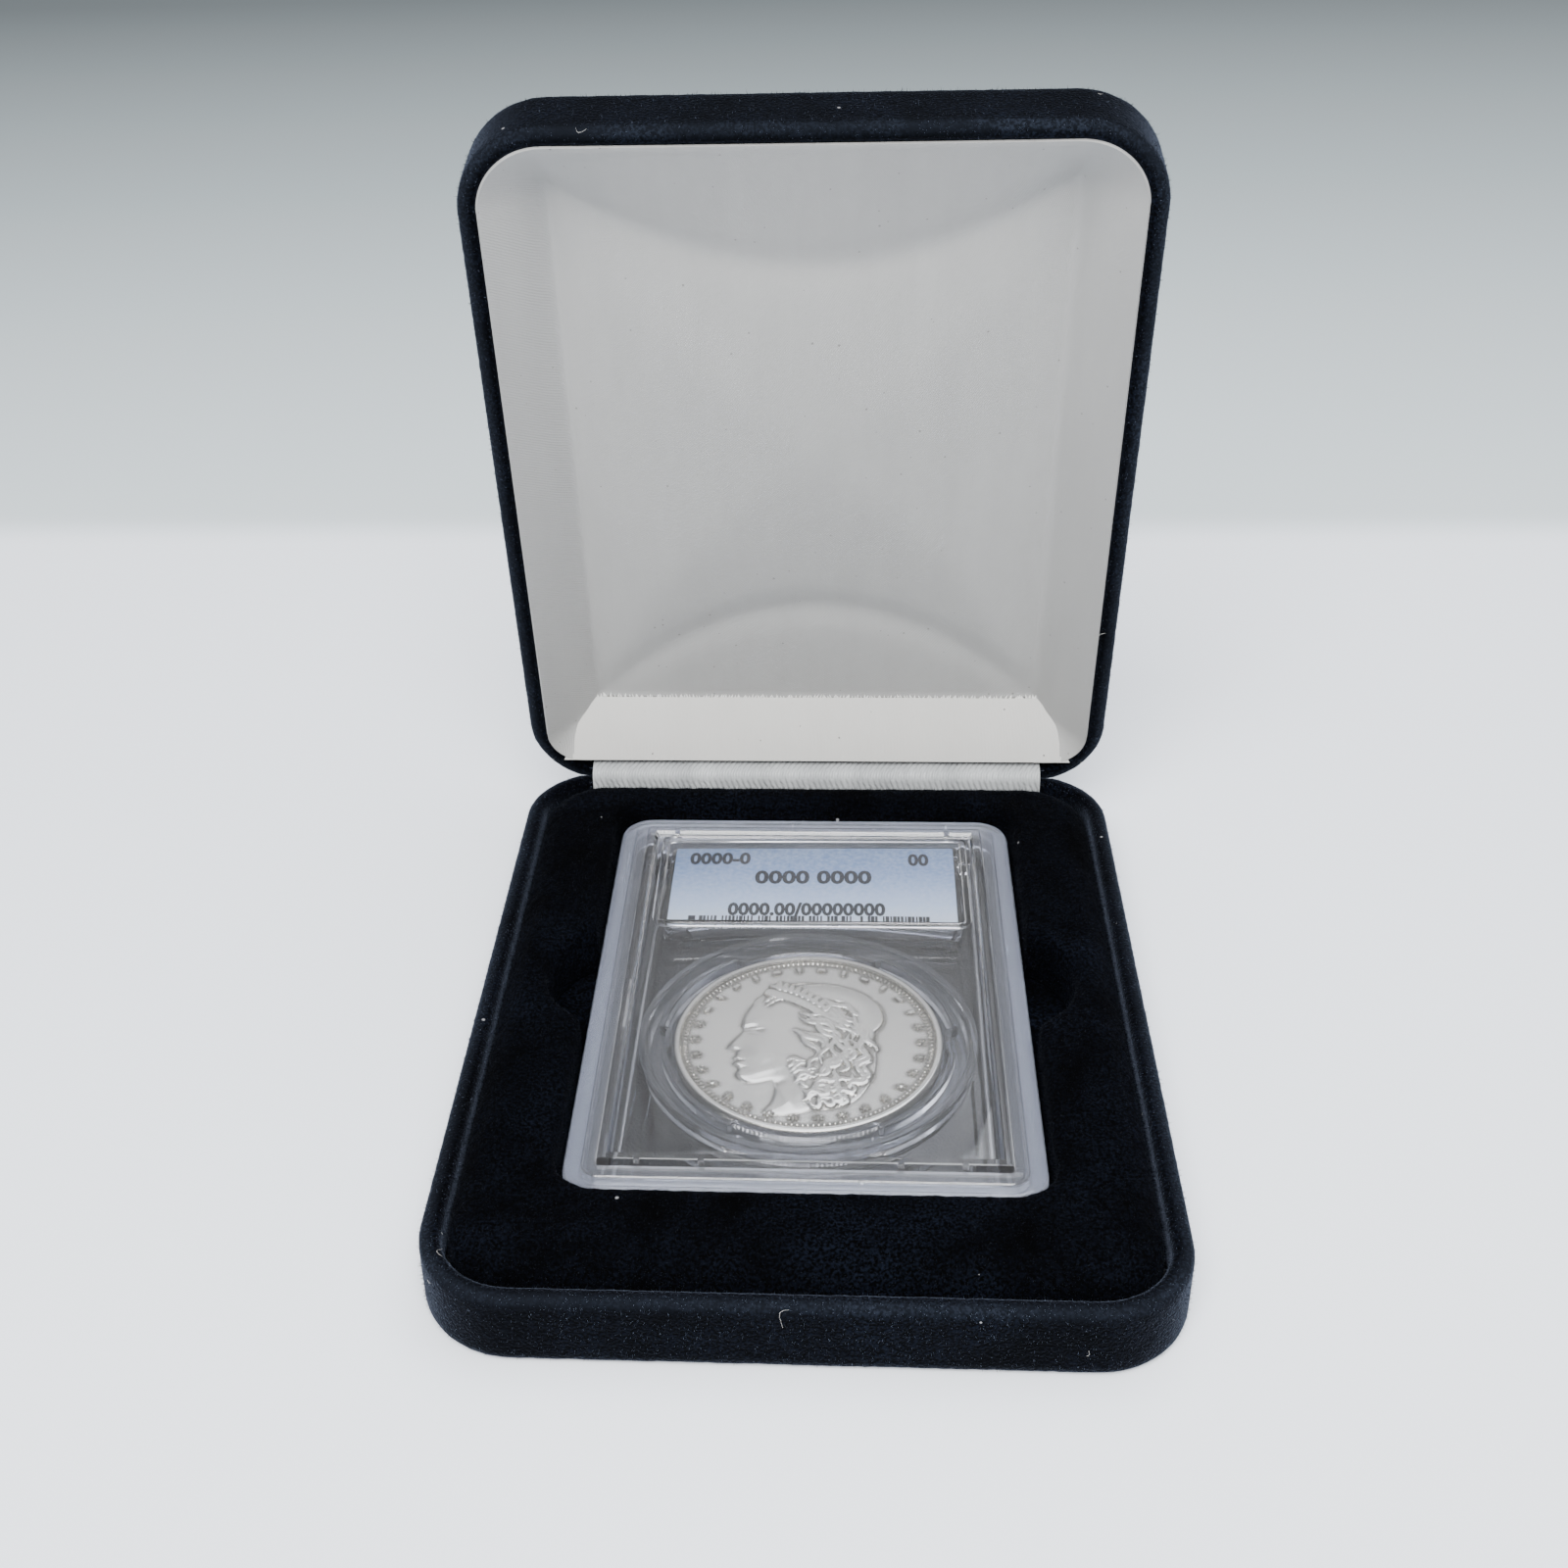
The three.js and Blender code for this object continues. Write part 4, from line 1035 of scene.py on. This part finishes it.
def addDigits(name, words, size, width, x, y, z, align):
    deselectAll()
    bpy.ops.object.text_add(location=(x, y, z))
    text = bpy.context.object
    text.data.body = words
    text.data.size = size
    text.data.align_x = align
    text.data.extrude = labelShape["ink"] / 2
    text.data.offset = labelShape["inkSpread"]
    text.data.resolution_u = 3
    pick(text)
    bpy.ops.object.convert(target="MESH")
    text.scale.x = width / text.dimensions.x
    applyPlace(text)
    text.name = name
    return text


def makeLabel():
    low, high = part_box("grade_label")
    deselectAll()
    rings = [(roundedLoop(low, high, 0.35 * mm, i * mm, None, 4), z)
             for i, z in ((0.04, low.z), (0, low.z + 0.05 * mm), (0, high.z - 0.05 * mm), (0.04, high.z))]
    card = drawRings("grade_card", rings)
    finishPiece(card, labelMaterial(low, high), "slab", ["grade_label"], 30)
    z = high.z + labelShape["ink"] / 2 + 0.005 * mm
    font = labelShape["font"]
    tall = high.y - low.y
    rows = [("0000-0", font, 9.8 * mm, low.x + 2.4 * mm, high.y - 0.22 * tall, "LEFT"),
            ("00", font, 3.3 * mm, high.x - 4.0 * mm, high.y - 0.24 * tall, "RIGHT"),
            ("0000 0000", font * 1.1, 18.5 * mm, (low.x + high.x) / 2, high.y - 0.49 * tall, "CENTER"),
            ("0000.00/00000000", font, 24.4 * mm, (low.x + high.x) / 2 - 0.9 * mm, low.y + 0.088 * tall,
             "CENTER")]
    printed = [addDigits("row", words, size, width, x, y, z, align)
               for words, size, width, x, y, align in rows]
    random.seed(5)
    x = low.x + 3.5 * mm
    end = high.x - 4.0 * mm
    pitch = (end - x) / labelShape["bars"]
    for k in range(labelShape["bars"]):
        if random.random() < 0.8:
            width = pitch * random.choice((0.45, 0.7, 0.98))
            deselectAll()
            bpy.ops.mesh.primitive_cube_add(size=1, location=(x + k * pitch, low.y + 0.042 * tall, z),
                                            scale=(width, labelShape["barHigh"], labelShape["ink"]))
            bar = bpy.context.object
            applyPlace(bar)
            printed.append(bar)
    ink = joinPieces(printed[0], printed[1:])
    ink.name = ink.data.name = "label_printing"
    finishPiece(ink, labelInk, "slab", (), 0)


makeSlab()
makeRing()
makeLabel()
print("slab made")

coinShape = {"steps": 300, "rimWidth": 1.05 * mm, "beads": 150, "fieldSink": 0.7 * mm,
             "relief": 0.66 * mm}


def smoothStep(edge0, edge1, value):
    t = np.clip((value - edge0) / (edge1 - edge0), 0, 1)
    return t * t * (3 - 2 * t)


def polygonDistance(px, py, outline):
    # distance inside a closed outline, negative outside
    points = np.array(outline)
    best = np.full(px.shape, 1e9)
    inside = np.zeros(px.shape, bool)
    for (x0, y0), (x1, y1) in zip(points, np.roll(points, -1, axis=0)):
        ex, ey = x1 - x0, y1 - y0
        t = np.clip(((px - x0) * ex + (py - y0) * ey) / max(ex * ex + ey * ey, 1e-12), 0, 1)
        best = np.minimum(best, np.hypot(px - x0 - t * ex, py - y0 - t * ey))
        crosses = (y0 > py) != (y1 > py)
        with np.errstate(divide="ignore", invalid="ignore"):
            at = x0 + (py - y0) * ex / (ey if ey else 1e-12)
        inside ^= crosses & (px < at)
    return np.where(inside, best, -best)


def splinePoints(knots, closed, per=8):
    # a smooth line through given knots
    points = [np.array(k, float) for k in knots]
    count = len(points)
    made = []
    for i in range(count if closed else count - 1):
        p0 = points[(i - 1) % count] if closed or i else points[0]
        p1, p2 = points[i], points[(i + 1) % count]
        p3 = points[(i + 2) % count] if closed or i + 2 < count else points[-1]
        for k in range(per):
            t = k / per
            made.append(0.5 * (2 * p1 + (p2 - p0) * t + (2 * p0 - 5 * p1 + 4 * p2 - p3) * t * t
                               + (3 * p1 - p0 - 3 * p2 + p3) * t ** 3))
    if not closed:
        made.append(points[-1])
    return made


def strandField(px, py, knots, width, taper=True):
    # a raised lock along a smooth line, rounded across and thinning to its ends
    line = splinePoints(knots, False, 7)
    best = np.full(px.shape, 1e9)
    along = np.zeros(px.shape)
    count = len(line) - 1
    for i in range(count):
        (x0, y0), (x1, y1) = line[i], line[i + 1]
        ex, ey = x1 - x0, y1 - y0
        t = np.clip(((px - x0) * ex + (py - y0) * ey) / max(ex * ex + ey * ey, 1e-12), 0, 1)
        d = np.hypot(px - x0 - t * ex, py - y0 - t * ey)
        closer = d < best
        along = np.where(closer, (i + t) / count, along)
        best = np.minimum(best, d)
    here = width * (np.sin(np.clip(along, 0.02, 0.98) * math.pi) ** 0.5 if taper else 1.0)
    return np.sqrt(np.clip(1 - (best / np.maximum(here, 1e-6)) ** 2, 0, 1)) * here / width


# unit head, facing left: 1 is the height from chin to crown, the origin is between brow and ear
faceOutline = [(-0.330, 0.300), (-0.372, 0.215), (-0.392, 0.130), (-0.394, 0.085), (-0.380, 0.055),
               (-0.402, 0.015), (-0.440, -0.045), (-0.468, -0.098), (-0.462, -0.118), (-0.428, -0.130),
               (-0.412, -0.140), (-0.414, -0.165), (-0.430, -0.188), (-0.424, -0.205), (-0.408, -0.214),
               (-0.424, -0.228), (-0.424, -0.250), (-0.402, -0.268), (-0.394, -0.286), (-0.406, -0.320),
               (-0.398, -0.355), (-0.365, -0.385), (-0.315, -0.396), (-0.262, -0.385), (-0.215, -0.372),
               (-0.192, -0.395), (-0.185, -0.470), (-0.205, -0.560), (-0.250, -0.640), (-0.180, -0.655),
               (-0.060, -0.640), (0.060, -0.585), (0.160, -0.500), (0.240, -0.380), (0.300, -0.200),
               (0.330, 0.000), (0.310, 0.200), (0.220, 0.380), (0.060, 0.480), (-0.110, 0.490),
               (-0.250, 0.420)]
hairLocks = []


hairEdge = [(-0.335, 0.30), (-0.24, 0.16), (-0.15, 0.03), (-0.11, -0.10), (-0.13, -0.25), (-0.07, -0.42),
            (-0.02, -0.55), (0.10, -0.60), (0.27, -0.52), (0.37, -0.30), (0.38, -0.05), (0.36, 0.16),
            (0.30, 0.30), (0.10, 0.45), (-0.20, 0.42)]


def planHair():
    # wavy locks that start at the brow, sweep over the head and fall down the neck in curls
    random.seed(23)
    edge = splinePoints(hairEdge, True, 4)
    while len(hairLocks) < 78:
        x, y = random.uniform(-0.34, 0.38), random.uniform(-0.58, 0.44)
        if polygonDistance(np.array([x]), np.array([y]), edge)[0] < 0.012:
            continue
        low = min(max((0.1 - y) / 0.6, 0), 1)
        phase, curl = random.uniform(0, 6.3), 0.55 + 0.75 * low
        knots = [(x, y)]
        for step in range(9):
            around = math.atan2(y + 0.12, x + 0.10) - math.pi / 2
            heading = around + curl * math.sin(phase + step * (0.85 + 0.35 * low))
            x, y = x + 0.030 * math.cos(heading), y + 0.030 * math.sin(heading)
            if polygonDistance(np.array([x]), np.array([y]), edge)[0] < -0.012:
                break
            knots.append((x, y))
        if len(knots) > 3:
            hairLocks.append((knots, random.uniform(0.016, 0.025)))


def coinRelief(px, py, radius):
    # heights over the coin's field, in metres; px and py are in metres from its centre
    scale = radius * 1.32
    hx, hy = px / scale - 0.006, py / scale - 0.03
    face = polygonDistance(hx, hy, splinePoints(faceOutline, True, 5))
    body = np.sqrt(np.clip(face / 0.17, 0, 1)) * 0.40
    body = np.where(face > 0, body + 0.12 * smoothStep(0.0, 0.02, face), 0)

    def dab(x, y, rx, ry, amount, angle=0.0):
        c, s = math.cos(angle), math.sin(angle)
        u, v = (hx - x) * c + (hy - y) * s, -(hx - x) * s + (hy - y) * c
        return amount * np.exp(-(u / rx) ** 2 - (v / ry) ** 2)

    skin = (dab(-0.262, -0.135, 0.085, 0.090, 0.13) + dab(-0.345, 0.118, 0.062, 0.020, 0.075, 0.25)
            - dab(-0.318, 0.052, 0.060, 0.034, 0.17) + dab(-0.322, 0.046, 0.032, 0.020, 0.12)
            + dab(-0.318, 0.066, 0.046, 0.008, 0.07, 0.18) + dab(-0.316, 0.028, 0.042, 0.007, 0.04, -0.12)
            + dab(-0.420, -0.095, 0.022, 0.022, 0.07) - dab(-0.405, -0.128, 0.016, 0.009, 0.07)
            + dab(-0.405, -0.190, 0.024, 0.012, 0.06) + dab(-0.402, -0.243, 0.024, 0.014, 0.06)
            - dab(-0.392, -0.213, 0.034, 0.006, 0.08) - dab(-0.372, -0.272, 0.026, 0.012, 0.05)
            + dab(-0.375, -0.335, 0.032, 0.030, 0.07) - dab(-0.170, -0.400, 0.060, 0.040, 0.12, 0.5)
            + dab(-0.250, -0.300, 0.110, 0.028, 0.06, 0.42) + dab(-0.110, -0.520, 0.030, 0.110, 0.07, 0.35))
    height = np.where(face > 0, body + 1.9 * skin * smoothStep(0.0, 0.02, face), 0)
    cap = polygonDistance(hx, hy, splinePoints([(-0.16, 0.40), (-0.02, 0.47), (0.14, 0.47), (0.30, 0.40),
                                                (0.40, 0.28), (0.42, 0.14), (0.36, 0.04), (0.27, 0.02),
                                                (0.24, 0.10), (0.26, 0.20), (0.18, 0.28), (0.04, 0.30),
                                                (-0.08, 0.33)],
                                               True, 6))
    capHigh = np.sqrt(np.clip(cap / 0.075, 0, 1)) * 0.40 + 0.58 - 0.4 * np.hypot(hx - 0.1, hy - 0.2)
    height = np.where(cap > 0, np.maximum(height, capHigh), height)
    hair = np.zeros_like(height)
    for number, (knots, width) in enumerate(hairLocks):
        lift = 0.10 + 0.05 * ((number * 7) % 3)
        lock = strandField(hx, hy, knots, width)
        hair = np.maximum(hair, np.where(lock > 0, lock * 0.30 + lift, 0))
    mane = polygonDistance(hx, hy, splinePoints(hairEdge, True, 5))
    hairBase = 0.36 * np.sqrt(np.clip(mane / 0.12, 0, 1)) + 0.10
    height = np.where(mane > 0, np.maximum(height, hairBase * 0.9), height)
    height = np.where(hair > 0, np.maximum(height, hairBase + hair), height)
    # band across the brow with a twig of leaves and ears of wheat
    band = strandField(hx, hy, [(-0.235, 0.385), (-0.13, 0.345), (0.00, 0.265), (0.12, 0.175)], 0.034,
                       False)
    height = np.where(band > 0, np.maximum(height, 0.76 + 0.14 * band ** 0.5), height)
    for k in range(9):
        t = k / 8
        x, y = -0.17 + 0.26 * t, 0.405 - 0.20 * t + 0.03 * math.sin(3 * t)
        for side in (-1, 1):
            angle = 2.1 - 0.55 * t + side * 0.45
            tip = (x + 0.085 * math.cos(angle), y + 0.085 * math.sin(angle))
            leaf = strandField(hx, hy, [(x, y), ((x + tip[0]) / 2 + 0.01 * side, (y + tip[1]) / 2), tip],
                               0.019)
            height = np.where(leaf > 0, np.maximum(height, 0.78 + 0.28 * leaf), height)
    relief = coinShape["relief"] * height
    # stars and a ring of small ornaments
    angle, distance = np.arctan2(py, px), np.hypot(px, py)
    ringAt = radius * 0.855
    for number in range(30):
        at = math.radians(90 + 12 * number + 6)
        x, y = ringAt * math.cos(at), ringAt * math.sin(at)
        lower = math.sin(at) < 0.25
        u, v = px - x, py - y
        own = np.arctan2(v, u) - at
        reach = radius * (0.045 if lower else 0.036)
        if lower:
            edge = reach * (0.62 + 0.38 * np.cos(6 * own))
        else:
            edge = reach * (0.75 + 0.25 * np.cos(2 * own + math.pi * (number % 2)))
        mark = smoothStep(0.0, 0.10 * mm, edge - np.hypot(u, v))
        relief = np.maximum(relief, mark * 0.36 * mm)
    # beads inside the rim, then the rim itself
    beadAt = radius - coinShape["rimWidth"] - 0.28 * mm
    phase = np.cos(angle * coinShape["beads"])
    bead = np.clip(1 - ((distance - beadAt) / (0.36 * mm)) ** 2, 0, 1) * smoothStep(-0.35, 0.6, phase)
    relief = np.maximum(relief, bead * 0.42 * mm)
    return relief


def paintReliefShade(heights):
    # painted shade: darker in the hollows of the relief and on its steep sides, standing in for the shading
    # there
    side = round(math.sqrt(len(heights)))
    grid = heights.reshape(side, side)
    soft = grid
    for _ in range(18):
        wide = np.pad(soft, 1, mode="edge")
        soft = (wide[:-2, 1:-1] + wide[2:, 1:-1] + wide[1:-1, :-2] + wide[1:-1, 2:]) / 4
    hollow = np.clip((soft - grid) / (0.05 * mm), 0, 1)
    slope = np.clip(np.hypot(*np.gradient(grid)) / (0.16 * mm), 0, 1)
    return np.clip(0.75 * hollow + 0.45 * slope, 0, 1).ravel()


def makeCoin():
    shape = coinShape
    low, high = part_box("coin")
    centre = (low + high) / 2
    radius = (high.x - low.x) / 2
    planHair()
    count = shape["steps"]
    deselectAll()
    bpy.ops.mesh.primitive_grid_add(x_subdivisions=count, y_subdivisions=count, size=2)
    piece = bpy.context.object
    piece.name = piece.data.name = "struck_coin"
    co = np.array([v.co[:] for v in piece.data.vertices])
    a, b = co[:, 0], co[:, 1]
    # the square grid pulled round into a disc
    far = np.maximum(np.abs(a), np.abs(b))
    length = np.maximum(np.hypot(a, b), 1e-9)
    fieldRadius = radius - 0.12 * mm
    x = a / length * fieldRadius * far
    y = b / length * fieldRadius * far
    distance = np.hypot(x, y)
    rim = smoothStep(radius - shape["rimWidth"] - 0.12 * mm, radius - shape["rimWidth"] + 0.12 * mm,
                     distance)
    relief = coinRelief(x, y, radius - 0.3 * mm)
    basin = -shape["fieldSink"] * (1 - rim)
    z = high.z + basin + np.minimum(relief * (1 - rim), shape["fieldSink"] * 0.99)
    bevel = smoothStep(radius - 0.35 * mm, fieldRadius, distance)
    z = z - 0.12 * mm * bevel
    piece.data.vertices.foreach_set("co", np.column_stack([x + centre.x, y + centre.y, z]).ravel())
    piece.data.update()
    # painted shade for the relief's hollows and steep sides
    markPoints(piece, "reliefShade", paintReliefShade(z))
    # side with its reeding, then the back
    selectOnly(piece, edges=lambda p, q: False)
    bpy.ops.mesh.select_all(action="DESELECT")
    bpy.ops.mesh.select_non_manifold()
    for drop, grow in ((0.10, 0.10), (0.6, 0.02), (0.6, -0.02), (0.6, 0.0), (0.35, -0.10)):
        bpy.ops.mesh.extrude_edges_move(TRANSFORM_OT_translate={"value": (0, 0, -drop * mm)})
        factor = 1 + grow * mm / radius
        bpy.ops.transform.resize(value=(factor, factor, 1), center_override=(centre.x, centre.y, 0))
    bpy.ops.mesh.edge_face_add()
    bpy.ops.mesh.select_all(action="SELECT")
    bpy.ops.mesh.normals_make_consistent(inside=False)
    bpy.ops.object.mode_set(mode="OBJECT")
    for vertex in piece.data.vertices:
        if vertex.co.z < high.z - 0.18 * mm:
            flat = Vector((vertex.co.x - centre.x, vertex.co.y - centre.y))
            if flat.length > radius - 0.16 * mm:
                groove = 0.06 * mm * math.cos(math.atan2(flat.y, flat.x) * 180)
                scale = min(radius + groove - 0.05 * mm, radius) / flat.length
                vertex.co.x, vertex.co.y = centre.x + flat.x * scale, centre.y + flat.y * scale
        vertex.co.z = max(vertex.co.z, low.z)
    finishPiece(piece, coinSilver, "slab", ["coin"], 30)


makeCoin()
print("coin made")

lintShape = {"fibres": 26, "length": (0.5 * mm, 2.2 * mm), "thick": 0.012 * mm}


def fibreAt(mesh, point, normal, length, thick, bend):
    # one curled hair of five short links, four-sided
    across = normal.orthogonal().normalized()
    turn = Matrix.Rotation(random.uniform(0, 2 * math.pi), 3, normal)
    along = turn @ across
    side = normal.cross(along)
    rows = []
    for k in range(6):
        t = k / 5
        middle = point + normal * (thick + 0.25 * length * math.sin(math.pi * t) * 0.3)
        middle += along * length * t + side * bend * math.sin(math.pi * t * 1.3)
        rows.append([mesh.verts.new(middle + (side * sx + normal * sz) * thick)
                     for sx, sz in ((-1, 0), (0, 1), (1, 0), (0, -1))])
    for first, second in zip(rows, rows[1:]):
        for i in range(4):
            mesh.faces.new((first[i], first[(i + 1) % 4], second[(i + 1) % 4], second[i]))
    mesh.faces.new(rows[0][::-1])
    mesh.faces.new(rows[-1])


def scatterFibres(name, host, body, wanted, seed):
    random.seed(seed)
    faces = [p for p in host.data.polygons if wanted(p.center, p.normal)]
    deselectAll()
    bpy.ops.mesh.primitive_plane_add(size=1)
    piece = bpy.context.object
    piece.name = piece.data.name = name
    mesh = bmesh.new()
    for _ in range(lintShape["fibres"]):
        face = random.choice(faces)
        length = random.uniform(*lintShape["length"])
        fibreAt(mesh, face.center.copy(), face.normal.copy(), length, lintShape["thick"],
                random.uniform(-0.4, 0.4) * length)
    mesh.to_mesh(piece.data)
    mesh.free()
    cleanNormals(piece)
    finishPiece(piece, fringeThread, body, (), 60)


pileShape = {"blades": 85000, "wide": 0.06 * mm, "tall": (0.2 * mm, 0.5 * mm), "lean": 0.5}


def growPile(name, host, material, body, seed, wanted):
    # fine upright blades, the fuzz that softens the velvet's outline
    shape = pileShape
    rng = np.random.RandomState(seed)
    mesh = host.data
    mesh.calc_loop_triangles()
    corners = np.array([tri.vertices[:] for tri in mesh.loop_triangles])
    points = np.array([v.co[:] for v in mesh.vertices])
    first, second, third = (points[corners[:, k]] for k in range(3))
    normals = np.cross(second - first, third - first)
    area = np.linalg.norm(normals, axis=1)
    normals = normals / np.maximum(area, 1e-15)[:, None]
    centres = (first + second + third) / 3
    area = area * wanted(centres, normals)
    chosen = rng.choice(len(area), shape["blades"], p=area / area.sum())
    u, v = rng.random_sample((2, shape["blades"], 1))
    flip = u + v > 1
    u, v = np.where(flip, 1 - u, u), np.where(flip, 1 - v, v)
    foot = first[chosen] + u * (second[chosen] - first[chosen]) + v * (third[chosen] - first[chosen])
    normal = normals[chosen]
    aside = np.cross(normal, rng.normal(size=(shape["blades"], 3)))
    aside /= np.maximum(np.linalg.norm(aside, axis=1), 1e-9)[:, None]
    lean = rng.normal(size=(shape["blades"], 3)) * shape["lean"]
    low, high = shape["tall"]
    tall = low + (high - low) * rng.random_sample((shape["blades"], 1)) ** 2
    tip = foot + (normal + lean * 0.5) * tall
    foot = foot - normal * 0.05 * mm
    half = shape["wide"] / 2
    made = np.stack([foot - aside * half, foot + aside * half, tip], axis=1).reshape(-1, 3)
    deselectAll()
    bpy.ops.mesh.primitive_plane_add(size=1)
    piece = bpy.context.object
    piece.name = piece.data.name = name
    piece.data.clear_geometry()
    piece.data.from_pydata(made.tolist(), [], np.arange(len(made)).reshape(-1, 3).tolist())
    piece.data.update()
    finishPiece(piece, material, body, (), 0)


def makePile():
    base, lid, insert = (bpy.data.objects[name] for name in ("base_velvet", "lid_velvet", "insert_cushion"))
    growPile("base_pile", base, velvetPile, "base", 41,
             lambda c, n: (c[:, 2] > 0.4 * mm) & (n[:, 2] > -0.4))
    growPile("lid_pile", lid, velvetPile, "lid", 42, lambda c, n: c[:, 2] > hingeAt.z + 3 * mm)
    growPile("insert_pile", insert, recessPile, "base", 43,
             lambda c, n: (c[:, 2] > 4.4 * mm) & (n[:, 2] > -0.2))


def makeLint():
    base, lid = bpy.data.objects["base_velvet"], bpy.data.objects["lid_velvet"]
    scatterFibres("base_lint", base, "base",
                  lambda c, n: c.y < hingeAt.y - 0.01 and n.z > -0.2 and c.z > 0.003, 31)
    scatterFibres("lid_lint", lid, "lid", lambda c, n: c.z > 0.03 and n.y < 0.7, 32)


makePile()
makeLint()
print("pile and lint made")

carried = {
    "base_shell": shellPlastic, "lid_shell": shellPlastic, "insert_board": greyBoard,
    "lining_board": greyBoard, "insert_foam": charcoalFoam, "hinge_leaf_base": platedSteel,
    "hinge_leaf_lid": platedSteel, "hinge_pin": platedSteel, "hinge_rivet_base_left": platedSteel,
    "hinge_rivet_base_right": platedSteel, "hinge_rivet_lid_left": platedSteel,
    "hinge_rivet_lid_right": platedSteel, "snap_spring": platedSteel, "back_sticker": stickerFoil,
}
for nodeName, material in carried.items():
    nodes[nodeName].data.materials.clear()
    nodes[nodeName].data.materials.append(material)
print("carried-over parts finished")

stageLook = {"size": 8.0, "near": (0.84, 0.88, 0.95, 1), "sweepEnd": 0.85,
             "keyPower": 34.0, "topPower": 15.0, "worldPower": 0.28}


def makeFloor():
    deselectAll()
    bpy.ops.mesh.primitive_plane_add(size=stageLook["size"], location=(0, 0, 0))
    floor = bpy.context.object
    floor.name = "studio_floor"
    material, tree, shader, place = newMaterial("studioPaper", Roughness=0.8)
    axes = addNode(tree, "ShaderNodeSeparateXYZ", {0: place})
    along = addNode(tree, "ShaderNodeMapRange", {0: axes.outputs["Y"], 1: 0.0, 2: stageLook["sweepEnd"]})
    ramp = addNode(tree, "ShaderNodeValToRGB", {0: along.outputs[0]})
    # past the horizon line the colour steps to grey and darkens with distance: painted shade standing in
    # for the light falling off over the backdrop
    stops = [(0.0, stageLook["near"]), (0.205, stageLook["near"]), (0.22, (0.56, 0.62, 0.65, 1)),
             (0.55, (0.36, 0.41, 0.43, 1)), (1.0, (0.17, 0.195, 0.205, 1))]
    while len(ramp.color_ramp.elements) < len(stops):
        ramp.color_ramp.elements.new(0.5)
    for element, (position, colour) in zip(ramp.color_ramp.elements, stops):
        element.position, element.color = position, colour
    tree.links.new(ramp.outputs[0], shader.inputs["Base Color"])
    floor.data.materials.append(material)


def addLight(name, place, target, size, power, colour):
    deselectAll()
    bpy.ops.object.light_add(type="AREA", location=place)
    light = bpy.context.object
    light.name = name
    light.data.shape = "RECTANGLE"
    light.data.size, light.data.size_y = size
    light.data.energy = power
    light.data.color = colour
    light.rotation_euler = (Vector(target) - Vector(place)).to_track_quat("-Z", "Y").to_euler()


def makeLights():
    addLight("key", (-0.06, -0.70, 0.90), (0, 0.02, 0.03), (0.8, 0.6), stageLook["keyPower"],
             (1.0, 0.995, 0.98))
    addLight("top", (0.25, 0.15, 1.15), (0, 0.02, 0), (1.3, 1.0), stageLook["topPower"], (0.95, 0.975, 1.0))
    world = bpy.data.worlds.new("studioAir")
    world.use_nodes = True
    world.node_tree.nodes["Background"].inputs["Color"].default_value = (0.88, 0.93, 1.0, 1)
    world.node_tree.nodes["Background"].inputs["Strength"].default_value = stageLook["worldPower"]
    bpy.context.scene.world = world


cameraPlace = {"x": 4.92, "y": -219.81, "z": 185.46, "pitch": 30.14, "yaw": -4.21, "roll": -1.87,
               "lens": 44.227, "shiftX": 0.0397, "shiftY": -0.0476}


def makeCamera():
    place = cameraPlace
    pitch, yaw, roll = (math.radians(place[k]) for k in ("pitch", "yaw", "roll"))
    forward = Vector((math.sin(yaw) * math.cos(pitch), math.cos(yaw) * math.cos(pitch), -math.sin(pitch)))
    right = Vector((math.cos(yaw), -math.sin(yaw), 0))
    up = right.cross(forward)
    turnedRight = right * math.cos(roll) + up * math.sin(roll)
    turnedUp = up * math.cos(roll) - right * math.sin(roll)
    deselectAll()
    bpy.ops.object.camera_add()
    camera = bpy.context.object
    rows = Matrix((turnedRight, turnedUp, -forward)).transposed()
    stand = Vector((place["x"], place["y"], place["z"])) * mm
    camera.matrix_world = Matrix.Translation(stand) @ rows.to_4x4()
    camera.data.lens = place["lens"]
    camera.data.shift_x, camera.data.shift_y = place["shiftX"], place["shiftY"]
    camera.data.clip_start = 0.01
    bpy.context.scene.camera = camera


makeFloor()
makeLights()
makeCamera()
print("stage made")
